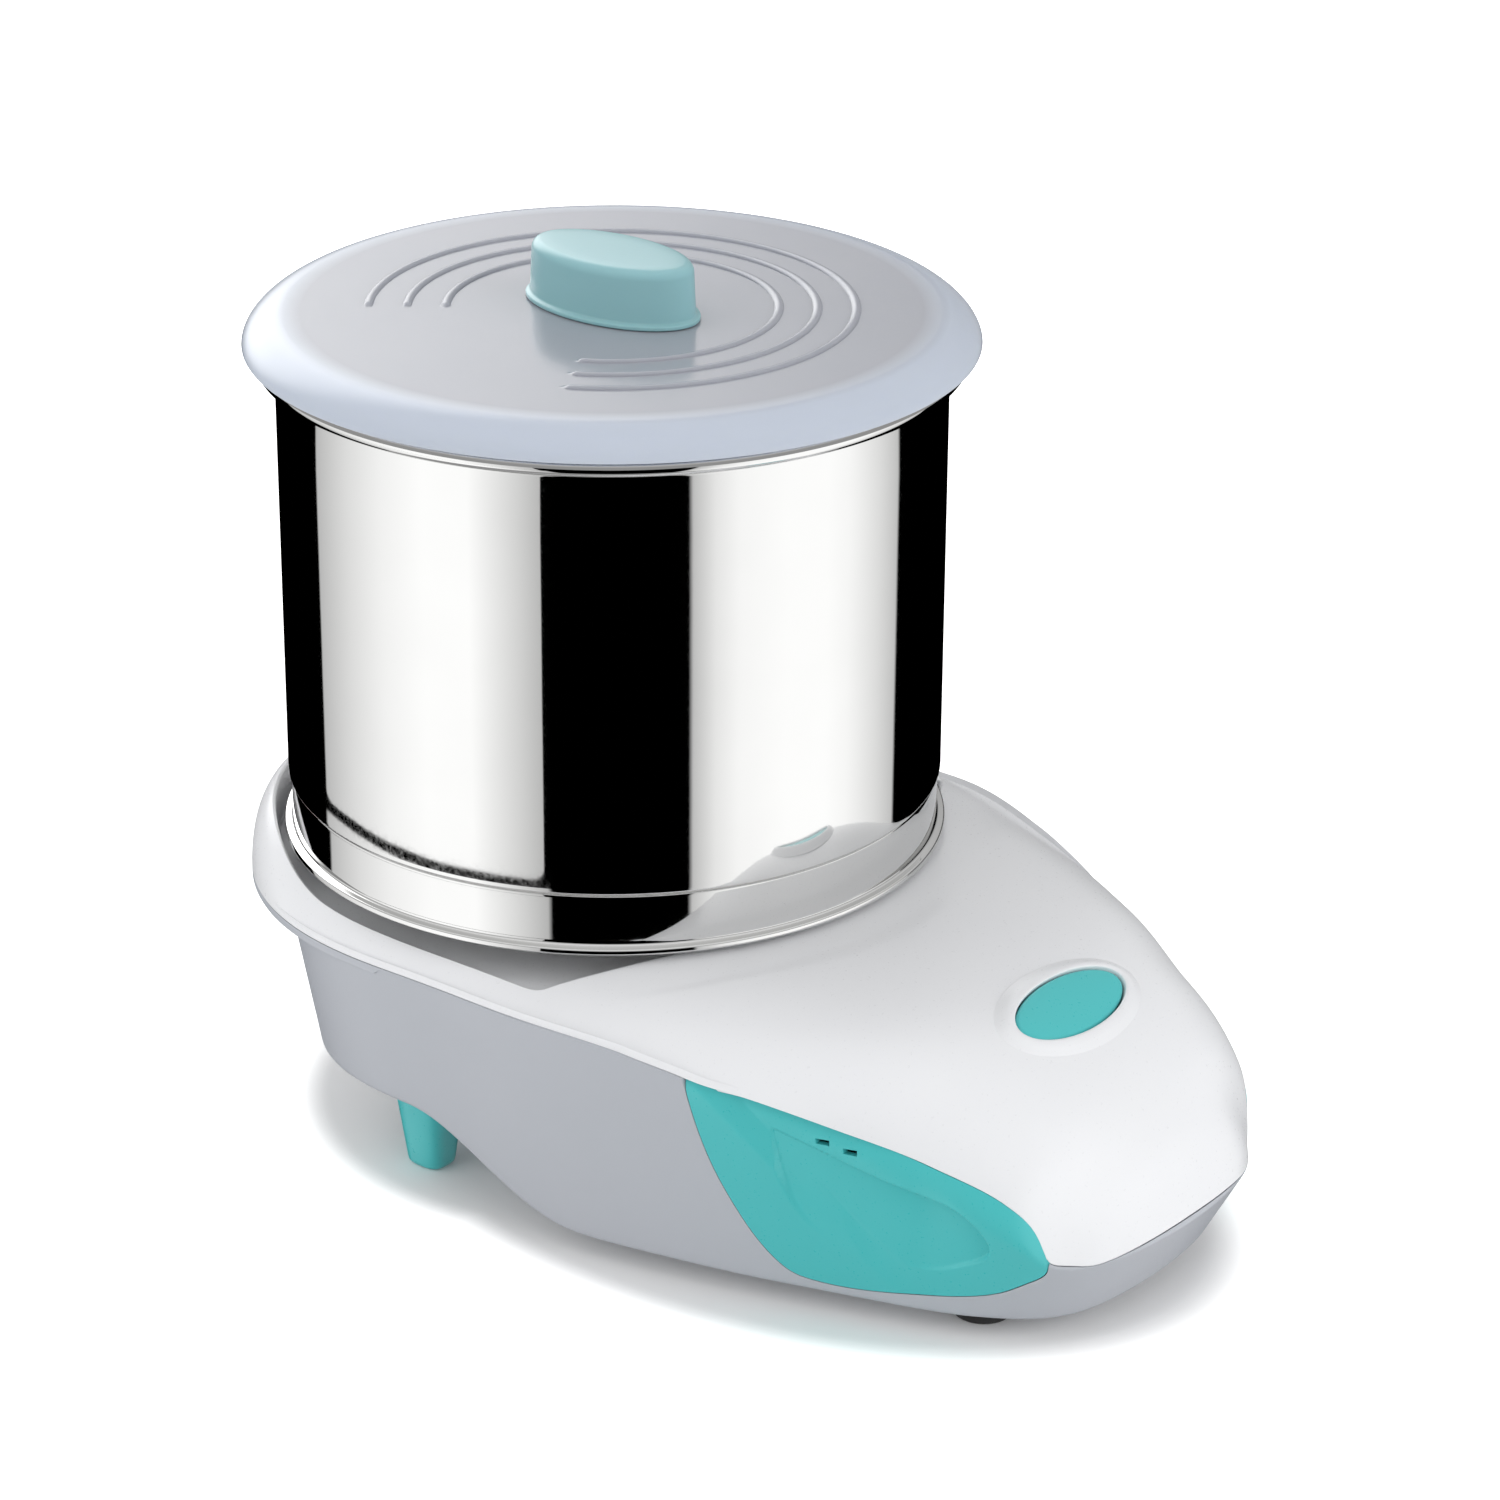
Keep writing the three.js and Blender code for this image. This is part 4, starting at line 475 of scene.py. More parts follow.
base = {
    "noseReach": 227.0, "halfWidth": 99.0, "rearReach": 77.3, "floor": 7.0, "fullHeight": 92.0,
    "rearFloor": 33.5, "stepRear": 2.0, "stepFront": 70.0, "edge": 2.6, "wall": 3.0, "flange": 2.6,
    "sideLean": 0.218, "rearLean": 0.078, "noseLean": 0.53, "rearPower": 2.75,
    "rimHalfWidth": 117.0, "rimReach": 124.0, "rimPower": 2.15, "seam": 0.3,
    "outline": [(0, 1), (0.15, 1), (0.28, 1), (0.414, 0.942), (0.564, 0.85), (0.705, 0.742),
                (0.846, 0.622), (0.903, 0.547), (0.942, 0.478), (0.976, 0.37), (0.995, 0.19)],
    "sideLine": [(-0.53, 0.935), (-0.25, 0.951), (0, 0.974), (0.15, 0.982), (0.3, 0.984),
                 (0.4, 0.957), (0.486, 0.914), (0.587, 0.838), (0.69, 0.725), (0.76, 0.655),
                 (0.826, 0.596), (0.885, 0.508), (0.918, 0.432), (0.935, 0.37), (0.965, 0.352),
                 (1, 0.359)],
    "seamLine": [(0.4, 0.957), (0.486, 0.914), (0.515, 0.897), (0.55, 0.881), (0.619, 0.839),
                 (0.687, 0.791), (0.754, 0.741), (0.789, 0.711), (0.826, 0.682), (0.86, 0.647),
                 (0.894, 0.59), (0.91, 0.545), (0.92, 0.494), (0.926, 0.445), (0.931, 0.398),
                 (0.939, 0.371), (0.953, 0.36), (0.968, 0.352), (0.983, 0.361), (1, 0.378)],
    # The floor's rows close in on its middle, and columns stand closer where the seam drops.
    "middle": -75.0, "seamBend": -213.0, "seamSpread": 9.0, "seamCrowd": 2.5, "tipHeight": 33.0,
}
noseTip = base["noseReach"] + base["noseLean"] * (base["tipHeight"] - base["floor"])
fullHeight = base["fullHeight"]
frontCount, rearCount = 240, 120
columnCount = frontCount + rearCount
isFront = np.arange(columnCount) < frontCount


def smoothThrough(keys, values):
    # A natural cubic spline, so that its curvature has no jumps
    keys, values = np.asarray(keys, float), np.asarray(values, float)
    gaps = np.diff(keys)
    matrix = np.eye(len(keys))
    right = np.zeros(len(keys))
    for place in range(1, len(keys) - 1):
        matrix[place, place - 1:place + 2] = (
            gaps[place - 1], 2 * (gaps[place - 1] + gaps[place]), gaps[place])
        right[place] = 6 * ((values[place + 1] - values[place]) / gaps[place]
                            - (values[place] - values[place - 1]) / gaps[place - 1])
    bend = np.linalg.solve(matrix, right)

    def valueAt(key):
        key = np.clip(key, keys[0], keys[-1])
        place = np.clip(np.searchsorted(keys, key) - 1, 0, len(keys) - 2)
        gap = gaps[place]
        before, ahead = key - keys[place], keys[place + 1] - key
        return ((bend[place] * ahead ** 3 + bend[place + 1] * before ** 3) / (6 * gap)
                + (values[place] / gap - bend[place] * gap / 6) * ahead
                + (values[place + 1] / gap - bend[place + 1] * gap / 6) * before)

    return valueAt


def smoothStep(value, low, high):
    share = np.clip((np.asarray(value, float) - low) / (high - low), 0, 1)
    return share * share * (3 - 2 * share)


def blended(low, high, share):
    return low + (high - low) * share


sideAt = smoothThrough(*zip(*base["sideLine"]))
seamAt = smoothThrough(*zip(*base["seamLine"]))


def sideHeight(y):
    # Where the walls end and the deck's shoulder starts
    return sideAt(-np.asarray(y, float) / noseTip) * fullHeight


def seamHeight(y):
    # Where cover and pan meet: on the side line, and above it over the side panels
    share = -np.asarray(y, float) / noseTip
    return np.where(share < base["seamLine"][0][0], sideAt(share), seamAt(share)) * fullHeight


def floorHeight(y):
    run = base["stepRear"] + base["stepFront"]
    ends = np.array([(base["stepRear"], base["rearFloor"]),
                     (base["stepRear"] - 0.32 * run, base["rearFloor"]),
                     (base["stepRear"] - 0.53 * run, base["floor"]),
                     (base["stepRear"] - run, base["floor"])])
    share = np.linspace(0, 1, 120)[:, None]
    line = ((1 - share) ** 3 * ends[0] + 3 * (1 - share) ** 2 * share * ends[1]
            + 3 * (1 - share) * share ** 2 * ends[2] + share ** 3 * ends[3])
    return np.interp(y, line[::-1, 0], line[::-1, 1])


def runAlong(points, power=1.0):
    # Distance from the first point to each one, step by step
    return np.concatenate([[0], np.cumsum(np.hypot(*np.diff(points, axis=0).T) ** power)])


def curveThrough(points, count):
    # As many points along a smooth curve through the given ones
    run = runAlong(points)
    dense = np.linspace(0, run[-1], count)
    return np.stack([smoothThrough(run, points[:, axis])(dense) for axis in (0, 1)], 1)


def evenly(points, count, bend=None):
    # Places along a line of points, at even steps, or closer together round one distance behind
    steps = np.hypot(*np.diff(points, axis=0).T)
    if bend is not None:
        away = (points[1:, 1] - bend) / base["seamSpread"]
        steps = steps * (1 + base["seamCrowd"] * np.exp(-away ** 2))
    run = np.concatenate([[0], np.cumsum(steps)])
    return np.interp(np.linspace(0, run[-1], count), run, np.arange(len(points)))


def frontColumns():
    left = [(-aside * base["halfWidth"], -along * base["noseReach"])
            for along, aside in base["outline"]]
    right = [(-x, y) for x, y in reversed(left)]
    through = np.array(left + [(0, -base["noseReach"])] + right)
    run = runAlong(through, 0.75)
    curveX, curveY = smoothThrough(run, through[:, 0]), smoothThrough(run, through[:, 1])
    dense = np.linspace(0, run[-1], 4000)
    places = np.interp(evenly(np.stack([curveX(dense), curveY(dense)], 1), frontCount + 1,
                              base["seamBend"]), np.arange(4000), dense)[:-1]
    x, y = curveX(places), curveY(places)
    step = run[-1] * 0.002
    alongX = curveX(places + step) - curveX(places - step)
    alongY = curveY(places + step) - curveY(places - step)
    size = np.hypot(alongX, alongY)
    blend = smoothStep(-y / base["noseReach"], 0.8, 1)
    return x, y, alongY / size, -alongX / size, blended(base["sideLean"], base["noseLean"], blend)


def rearShares(halfWidth, reach, power):
    turn = np.linspace(0, math.pi, 6000)
    x = np.sign(np.cos(turn)) * np.abs(np.cos(turn)) ** (2 / power)
    y = np.abs(np.sin(turn)) ** (2 / power)
    places = evenly(np.stack([x * halfWidth, y * reach], 1), rearCount + 1)[:-1]
    return np.interp(places, np.arange(6000), x), np.interp(places, np.arange(6000), y)


frontX, frontY, frontOutX, frontOutY, frontLean = frontColumns()
panRear = rearShares(base["halfWidth"], base["rearReach"], base["rearPower"])
rimRear = rearShares(base["rimHalfWidth"], base["rimReach"], base["rimPower"])


def panLoop(height, inset=0.0):
    # Plan of the pan's wall, from -X round the nose to +X and back by the rear, at one height or
    # at one for each column
    height = np.broadcast_to(np.asarray(height, float), columnCount)
    inset = np.broadcast_to(np.asarray(inset, float), columnCount)
    rise = height - base["floor"]
    spread = frontLean * rise[:frontCount] - inset[:frontCount]
    front = np.stack([frontX + frontOutX * spread, frontY + frontOutY * spread], 1)
    width = base["halfWidth"] + base["sideLean"] * rise[frontCount:] - inset[frontCount:]
    reach = base["rearReach"] + base["rearLean"] * rise[frontCount:] - inset[frontCount:]
    rear = np.stack([panRear[0] * width, panRear[1] * reach], 1)
    return np.concatenate([front, rear])


def rimLoop(inset=0.0):
    return np.stack([rimRear[0] * (base["rimHalfWidth"] - inset),
                     rimRear[1] * (base["rimReach"] - inset)], 1)


def wallTops():
    # Height at which each column of the wall meets the side line
    height = np.full(columnCount, 60.0)
    for _ in range(60):
        height = 0.5 * height + 0.5 * sideHeight(panLoop(height)[:, 1])
    return height


wallTop = wallTops()


def coverLoop(inset=0.0):
    inset = np.broadcast_to(np.asarray(inset, float), columnCount)
    front = panLoop(wallTop, inset)[:frontCount]
    return np.concatenate([front, rimLoop(inset[frontCount:])])


coverEdge = coverLoop()


def withHeight(loop, height):
    return np.concatenate([loop, np.broadcast_to(np.asarray(height, float), len(loop))[:, None]], 1)


cover = {
    "deck": 103.5, "splash": 113.0, "splashStart": 35.0, "splashEnd": 92.0, "tip": 33.0,
    "tray": 93.5, "rim": 8.5, "frontRim": 12.0, "deckEdge": 99.0, "deckSweep": 40.0,
    "wall": 2.4, "opening": 26.5, "collar": 2.0, "collarRise": 3.0, "rows": 71, "crowd": 1.5,
    "seamRound": 0.25, "edgeRound": 1.1, "footRound": 1.6, "ridgeRadius": 127.0, "ridge": 0.45,
    "ridgeWidth": 1.5, "ridgeFade": (40.0, 70.0),
    "crown": [(0.3, 1), (0.467, 0.997), (0.62, 0.955), (0.723, 0.91), (0.7915, 0.848), (0.85, 0.75),
              (0.909, 0.59), (0.955, 0.39), (0.985, 0.19), (1, 0)],
    "shoulder": [(-0.6, 26, 2), (-0.4, 24, 1.9), (-0.25, 15, 1.3), (0, 12, 1), (0.15, 9, 0.9),
                 (0.25, 7.2, 0.8), (0.41, 7, 0.6), (0.5, 6, 0.8), (0.58, 5.5, 1.1), (0.65, 5.5, 1.35),
                 (0.69, 5.2, 1.5), (0.76, 4.3, 1.5), (0.82, 3.8, 1.5), (0.9, 3.6, 1.5), (1, 2.8, 1.5)],
}
crownAt = smoothThrough(*zip(*cover["crown"]))
shoulderKeys = [row[0] for row in cover["shoulder"]]
widthPowerAt = smoothThrough(shoulderKeys, [row[1] for row in cover["shoulder"]])
risePowerAt = smoothThrough(shoulderKeys, [row[2] for row in cover["shoulder"]])


def crownHeight(y):
    splash = smoothStep(y, cover["splashStart"], cover["splashEnd"])
    ahead = blended(cover["tip"], cover["deck"], np.clip(crownAt(-y / noseTip), 0, 1))
    return np.where(y > 0, blended(cover["deck"], cover["splash"], splash), ahead)


def deckHeight(x, y):
    # Height of the cover's skin over one place in plan
    share = -y / noseTip
    half = coverEdge[:frontCount // 2 + 1]
    width = np.interp(-y, -half[:, 1], -half[:, 0])
    turns = np.arctan2(coverEdge[:, 1], coverEdge[:, 0])
    order = np.argsort(turns)
    reach = np.interp(np.arctan2(y, x), turns[order], np.hypot(*coverEdge[order].T),
                      period=2 * math.pi)
    spread = np.clip(np.hypot(x, y) / reach, 0, 1)
    across = np.clip(np.abs(x) / np.maximum(width, 0.01), 0, 1)
    widthPower, risePower = widthPowerAt(share), risePowerAt(share)
    blend = smoothStep(share, 0, 0.3)
    around = (1 - spread ** widthPower) ** (1 / risePower)
    over = (1 - across ** widthPower) ** (1 / risePower)
    arch = blended(around, over, blend)
    height = blended(sideHeight(y), crownHeight(y), arch)
    past = np.hypot(x, y) - cover["ridgeRadius"]
    ring = 1 - smoothStep(past, -cover["ridgeWidth"], cover["ridgeWidth"])
    ring = ring * smoothStep(-y, *cover["ridgeFade"]) * smoothStep(arch, 0.5, 0.9)
    return height - cover["ridge"] * ring


def trayLoop():
    # Edge of the tray: inside the rim at the sides and the rear, along the deck's rear edge in front
    ahead = smoothStep(-panLoop(wallTop)[:, 1] / noseTip, 0, 0.3)
    loop = coverLoop(np.where(isFront, blended(cover["rim"], cover["frontRim"], ahead), cover["rim"]))

    def deckLine(x):
        across = x / (base["rimHalfWidth"] - cover["frontRim"])
        return cover["deckSweep"] * across ** 2 - cover["deckEdge"]

    corner = int(np.argmax(loop[:frontCount, 1] < deckLine(loop[:frontCount, 0])))
    side = loop[corner, 0]
    share = np.linspace(0, 1, frontCount - 2 * corner + 1)
    x = blended(side, -side, share)
    loop[corner:frontCount - corner + 1] = np.stack([x, deckLine(x)], 1)
    smooth = loop.copy()
    for _ in range(3):
        smooth = 0.25 * np.roll(smooth, 1, 0) + 0.5 * smooth + 0.25 * np.roll(smooth, -1, 0)
    return smooth


def trayEdge():
    tray = trayLoop()
    along = np.roll(tray, -1, 0) - np.roll(tray, 1, 0)
    outward = np.stack([along[:, 1], -along[:, 0]], 1) / np.hypot(*along.T)[:, None]
    return tray, outward


def sidePaths():
    # Each column's way up the wall and over the shoulder to the tray, as loops
    tray, outward = trayEdge()
    inner = tray + outward * cover["edgeRound"]
    foot = floorHeight(panLoop(base["floor"])[:, 1]) + base["edge"]
    sides = sideHeight(coverEdge[:, 1])
    rows = []
    for share in np.linspace(0, 1, 60)[:-1]:
        height = blended(foot, wallTop, share)
        rows.append(np.where(isFront[:, None], withHeight(panLoop(height), height),
                             withHeight(coverEdge, sides)))
    edge = np.where(isFront, wallTop, sides)
    for share in np.linspace(0, 1, 140):
        loop = blended(coverEdge, inner, share ** 1.8)
        rows.append(withHeight(loop, np.maximum(deckHeight(loop[:, 0], loop[:, 1]), edge)))
    return np.array(rows)


def cutPlaces(paths, shift):
    # Where each column's way crosses the seam
    above = paths[:, :, 2] - seamHeight(paths[:, :, 1]) - shift
    first = np.maximum(np.argmax(above > 0, axis=0), 1)
    column = np.arange(paths.shape[1])
    low, high = above[first - 1, column], above[first, column]
    share = np.where(high > low, -low / np.where(high > low, high - low, 1), 0)
    return first - 1 + np.clip(share, 0, 1)


def rowsBetween(paths, start, end, shares):
    # Loops at even lengths of each column's way, from one place to the other
    steps = np.arange(len(paths))
    run = np.concatenate([np.zeros((1, paths.shape[1])),
                          np.cumsum(np.linalg.norm(np.diff(paths, axis=0), axis=2), axis=0)])
    rows = np.empty((len(shares),) + paths.shape[1:])
    for column in range(paths.shape[1]):
        ends = np.interp([start[column], end[column]], steps, run[:, column])
        at = np.interp(blended(ends[0], ends[1], shares), run[:, column] + steps * 1e-9, steps)
        for axis in range(3):
            rows[:, column, axis] = np.interp(at, steps, paths[:, column, axis])
    return list(rows)


# Base pan

def addBasePan():
    low = floorHeight(panLoop(base["floor"])[:, 1])
    seat = base["seam"] / 2
    plate = np.where(isFront, 0.0, base["flange"])
    top = sideHeight(coverEdge[:, 1]) - seat
    bottom = panLoop(low, base["edge"])
    centre = np.array([0.0, base["middle"]])
    rows = []
    for share in (0.0, 0.12, 0.25, 0.38, 0.5, 0.6, 0.7, 0.8, 0.88, 0.95):
        loop = centre + (bottom - centre) * share
        rows.append(withHeight(loop, floorHeight(loop[:, 1])))
    for turn in np.linspace(0, math.pi / 2, 7):
        height = low + base["edge"] * (1 - math.cos(turn))
        rows.append(withHeight(panLoop(height, base["edge"] * (1 - math.sin(turn))), height))
    shares = np.linspace(0, 1, 29)[1:]
    paths = sidePaths()
    walls = rowsBetween(paths, np.zeros(len(top)), cutPlaces(paths, -seat), shares)
    start = low + base["edge"]
    for share, wall in zip(shares, walls):
        height = blended(start, top - plate, share)
        rows.append(np.where(isFront[:, None], wall, withHeight(panLoop(height), height)))
    under = rows[-1]
    outer = withHeight(coverEdge, top - plate)
    outer[:frontCount] = under[:frontCount]
    rows += [blended(under, outer, share) for share in (0.35, 0.7, 0.97)]
    rows += [withHeight(outer[:, :2], outer[:, 2] + plate * share) for share in (0.15, 0.85)]
    rows.append(withHeight(blended(under, outer, 0.985)[:, :2], np.where(isFront, under[:, 2], top)))
    pan = skin("basePan", rows)
    applyModifier(pan, "SOLIDIFY", thickness=base["wall"] * mm, offset=-1, use_even_offset=False)
    return pan


# Side panels

panel = {
    "outline": [(0.493, 0.763), (0.511, 0.534), (0.53, 0.398), (0.559, 0.247), (0.576, 0.189),
                (0.595, 0.149), (0.621, 0.132), (0.665, 0.127), (0.741, 0.148), (0.815, 0.18),
                (0.868, 0.226), (0.902, 0.285), (0.923, 0.33)],
    "rear": 0.487, "tip": 0.932,
    "recess": [(0.585, 0.78), (0.69, 0.675), (0.77, 0.61), (0.84, 0.55), (0.864, 0.47), (0.866, 0.4),
               (0.835, 0.33), (0.786, 0.275), (0.72, 0.27), (0.66, 0.3), (0.62, 0.4), (0.595, 0.56)],
    "thickness": 2.2, "pitch": 0.55,
    # Where along X each panel's wall is cut out of the pan
    "spans": {"sidePanelLeft": (-130, -40), "sidePanelRight": (40, 130)},
    "recessTop": [(0.585, 0.78), (0.864, 0.47)], "recessFoot": 0.27, "recessEdge": 1.6,
    "fold": [(0.487, 0.93), (0.622, 0.5)], "facet": 0.34, "facetWidth": 8.0, "hollow": 3.4,
    "slots": [(0.657, 0.728), (0.693, 0.708)], "slotLength": 4.4, "slotHeight": 2.0,
}


def wallAside(y, z):
    # Half width of the wall at one height, and above the side line of the deck's shoulder
    spread = frontLean * (z - base["floor"])
    x = -(frontX + frontOutX * spread)[:frontCount // 2 + 1]
    along = (frontY + frontOutY * spread)[:frontCount // 2 + 1]
    aside = np.interp(-y, -along, x)
    half = coverEdge[:frontCount // 2 + 1]
    widest = np.interp(-y, -half[:, 1], -half[:, 0])
    low, high = 0.5 * widest, widest.copy()
    for _ in range(22):
        middle = (low + high) / 2
        outside = deckHeight(middle, y) < z
        low, high = np.where(outside, low, middle), np.where(outside, middle, high)
    return np.where(z > sideHeight(y), np.minimum(low, aside), aside)


def panelOutline(grow=0.0):
    # Down the rear, along the belly and up to the tip, then back along the seam
    low = [(share * noseTip, up * fullHeight) for share, up in panel["outline"]]
    start = (panel["rear"] * noseTip, seamHeight(-panel["rear"] * noseTip))
    end = (panel["tip"] * noseTip, seamHeight(-panel["tip"] * noseTip))
    back = blended(end[0], start[0], np.linspace(0, 1, 110)[1:-1] ** 1.5)
    line = np.concatenate([curveThrough(np.array([start] + low + [end]), 110),
                           np.stack([back, seamHeight(-back)], 1)])
    step = np.roll(line, -1, 0) - np.roll(line, 1, 0)
    outward = np.stack([-step[:, 1], step[:, 0]], 1) / np.hypot(*step.T)[:, None]
    middle = line.mean(0)
    if ((line - middle) * outward).sum() < 0:
        outward = -outward
    line = line + outward * grow
    return [(-along, up) for along, up in line]


def insideDistance(outline, along, up):
    # Distance in from a closed outline, below zero outside it
    corners = np.array(outline)
    ends = np.roll(corners, -1, 0)
    best = np.full(along.shape, 1e9)
    inside = np.zeros(along.shape, bool)
    for (x0, y0), (x1, y1) in zip(corners, ends):
        length = (x1 - x0) ** 2 + (y1 - y0) ** 2
        share = np.clip(((along - x0) * (x1 - x0) + (up - y0) * (y1 - y0)) / length, 0, 1)
        best = np.minimum(best, np.hypot(along - x0 - share * (x1 - x0), up - y0 - share * (y1 - y0)))
        crosses = (y0 > up) != (y1 > up)
        inside ^= crosses & (along < x0 + (up - y0) * (x1 - x0) / np.where(y1 == y0, 1e-9, y1 - y0))
    return np.where(inside, best, -best)


def recessOutline():
    through = np.array([(share * noseTip, up * fullHeight) for share, up in panel["recess"]])
    return curveThrough(np.concatenate([through, through[:1]]), 120)[:-1]


def panelDepth(along, up):
    # How far the panel's face lies inside the wall: one slanting facet, and the finger recess
    (foldAlong, foldUp), (endAlong, endUp) = [(a * noseTip, u * fullHeight) for a, u in panel["fold"]]
    run, fall = endAlong - foldAlong, foldUp - endUp
    past = ((along - foldAlong) * fall + (up - foldUp) * run) / math.hypot(run, fall)
    soft = 0.5 * (past + np.sqrt(past ** 2 + 0.6))
    aheadShares, upShares = along / noseTip, up / fullHeight
    facet = panel["facet"] * np.minimum(soft, panel["facetWidth"])
    facet = facet * (1 - smoothStep(aheadShares, 0.6, 0.8))
    crisp = smoothStep(insideDistance(recessOutline(), along, up), 0, panel["recessEdge"])
    high = np.interp(aheadShares, *zip(*panel["recessTop"]))
    level = np.clip((upShares - panel["recessFoot"]) / (high - panel["recessFoot"]), 0, 1)
    hollow = panel["hollow"] * (0.22 + 0.78 * level ** 1.3)
    fade = smoothStep(aheadShares * 0.6 + upShares * 0.4, 0.505, 0.6)
    return np.maximum(facet, crisp * hollow * fade)


def addSidePanel(name):
    side = math.copysign(1, panel["spans"][name][0])
    outline = np.array(panelOutline())
    spare = 2.0
    alongs = np.arange(-outline[:, 0].max() - spare, -outline[:, 0].min() + spare, panel["pitch"])
    ups = np.arange(outline[:, 1].min() - spare, outline[:, 1].max() + spare, panel["pitch"])
    along, up = np.meshgrid(alongs, ups)
    aside = np.array([wallAside(-row, height) for row, height in zip(along, ups)])
    for _ in range(60):  # softens the line between wall and shoulder
        aside[1:-1] = 0.25 * aside[:-2] + 0.5 * aside[1:-1] + 0.25 * aside[2:]
    face = aside - panelDepth(along, up)
    points = np.stack([side * face, -along, up], 2).reshape(-1, 3) * mm
    points[:, 1] += axisY
    bpy.ops.object.select_all(action="DESELECT")
    bpy.ops.mesh.primitive_grid_add(x_subdivisions=len(alongs) - 1, y_subdivisions=len(ups) - 1,
                                    size=1)
    obj = bpy.context.object
    obj.name = name
    obj.data.vertices.foreach_set("co", points.ravel())
    obj.data.update()
    chooseOnly(obj)
    bpy.ops.object.mode_set(mode="EDIT")
    bpy.ops.mesh.select_all(action="SELECT")
    if (obj.data.polygons[0].normal.x > 0) != (side > 0):
        bpy.ops.mesh.flip_normals()
    bpy.ops.object.mode_set(mode="OBJECT")
    applyModifier(obj, "SOLIDIFY", thickness=panel["thickness"] * mm, offset=-1,
                  use_even_offset=False)
    low, high = panel["spans"][name]
    under = [(y, z - base["seam"] / 2 if z > seamHeight(y) - 0.5 else z) for y, z in panelOutline()]
    cutAway(obj, prism("panelShape", under, low, high), "INTERSECT")
    for share, height in panel["slots"]:
        middle, half = -share * noseTip, panel["slotLength"] / 2
        sill, head = height * fullHeight, height * fullHeight + panel["slotHeight"]
        corners = [(middle - half, sill), (middle + half, sill), (middle + half, head),
                   (middle - half, head)]
        cutAway(obj, prism("slotShape", corners, low, high))
    return obj


pan = addBasePan()
for low, high in panel["spans"].values():
    cutAway(pan, prism("panelPocket", panelOutline(base["seam"]), low, high))
finishPiece(pan, "grey_plastic", "base", ["base_pan"])

finishPiece(addSidePanel("sidePanelLeft"), "teal_plastic", "base", ["side_panel_left"], 28)
finishPiece(addSidePanel("sidePanelRight"), "teal_plastic", "base", ["side_panel_right"], 28)


# Top cover

def addTopCover():
    tray, outward = trayEdge()
    paths = sidePaths()
    start = cutPlaces(paths, base["seam"] / 2)
    end = np.full(len(start), len(paths) - 1.0)
    rows = rowsBetween(paths, start, end, np.linspace(0, 1, cover["rows"]) ** cover["crowd"])
    rows[0] = rows[0] - np.insert(outward, 2, 0, axis=1) * cover["seamRound"]
    top, quarter = rows[-1][:, 2], np.linspace(0, math.pi / 2, 6)
    for turn in quarter[1:]:
        loop = tray + outward * cover["edgeRound"] * (1 - math.sin(turn))
        rows.append(withHeight(loop, top - cover["edgeRound"] * (1 - math.cos(turn))))
    foot = cover["tray"] + cover["footRound"]
    for share in (0.4, 0.8):
        rows.append(withHeight(tray, blended(top - cover["edgeRound"], foot, share)))
    for turn in quarter:
        loop = tray - outward * cover["footRound"] * (1 - math.cos(turn))
        rows.append(withHeight(loop, cover["tray"] + cover["footRound"] * (1 - math.sin(turn))))
    # Level tray, then the collar round the hole of the hub
    turns = np.arctan2(tray[:, 1], tray[:, 0])
    circle = np.stack([np.cos(turns), np.sin(turns)], 1)
    inside, rise = cover["opening"], cover["collarRise"]
    outside = inside + cover["collar"]
    edge = rows[-1][:, :2]
    for share in (0.25, 0.5, 0.75, 0.9):
        rows.append(withHeight(blended(edge, circle * outside, share), cover["tray"]))
    collar = [(outside + 2, 0), (outside, 0, 0.6), (outside, rise, 0.5), (inside, rise, 0.5),
              (inside, -2.6)]
    for radius, height in roundedProfile(collar, 3):
        rows.append(withHeight(circle * radius, cover["tray"] + height))
    obj = skin("topCover", rows)
    applyModifier(obj, "SOLIDIFY", thickness=cover["wall"] * mm, offset=-1, use_even_offset=False)
    return obj


# Start button and the ring round it

button = {
    "ahead": 190.6, "height": 93.4, "tilt": 25.0, "halfWidth": 26.0, "halfLength": 10.8, "gap": 0.5,
    "profile": [(-1.2, -5), (0, -5, 0.3), (0, 0, 1.5), (-5.4, 0.35), (-9.0, 0.45)],
    "stem": [(4, -13), (4, -4.8)], "hole": 1.4,
    # The ring's skin as distance out from the gap and rise, and its socket, with how far it follows
    # the deck's bow
    "ring": [(6.8, -0.2), (5.8, 0.12), (4.8, 0.5), (3.8, 0.95), (2.8, 1.28), (1.8, 1.42), (1.0, 1.4),
             (0.45, 1.25), (0.12, 0.95), (0.0, 0.5)],
    "socket": [(0, -1.5, 0), (0, -5, 0), (1.6, -5, 0), (1.6, -0.8, 0), (6.0, -0.9, 1)],
}
tilt = math.radians(button["tilt"])


def buttonRing():
    turns = np.linspace(0, 2 * math.pi, 161)[:-1]
    widest = button["ring"][0][0]

    def place(spread, rise, onDeck):
        across = (button["halfWidth"] + button["gap"] + spread) * np.cos(turns)
        along = (button["halfLength"] + button["gap"] + spread) * np.sin(turns)
        y = -button["ahead"] + along * math.cos(tilt)
        z = button["height"] + along * math.sin(tilt)
        proud = (deckHeight(across, y) - z) * math.cos(tilt) * onDeck + rise
        return np.stack([across, y - proud * math.sin(tilt), z + proud * math.cos(tilt)], 1)

    rows = [place(spread, rise, 0.5 + 0.5 * spread / widest) for spread, rise in button["ring"]]
    rows += [place(*step) for step in button["socket"]]
    return skin("buttonRing", rows + rows[:1])


def tiltPiece(obj):
    obj.rotation_euler = (tilt, 0, 0)
    obj.location = atPlace(0, -button["ahead"], button["height"])
    chooseOnly(obj)
    bpy.ops.object.transform_apply(location=True, rotation=True, scale=True)
    return obj


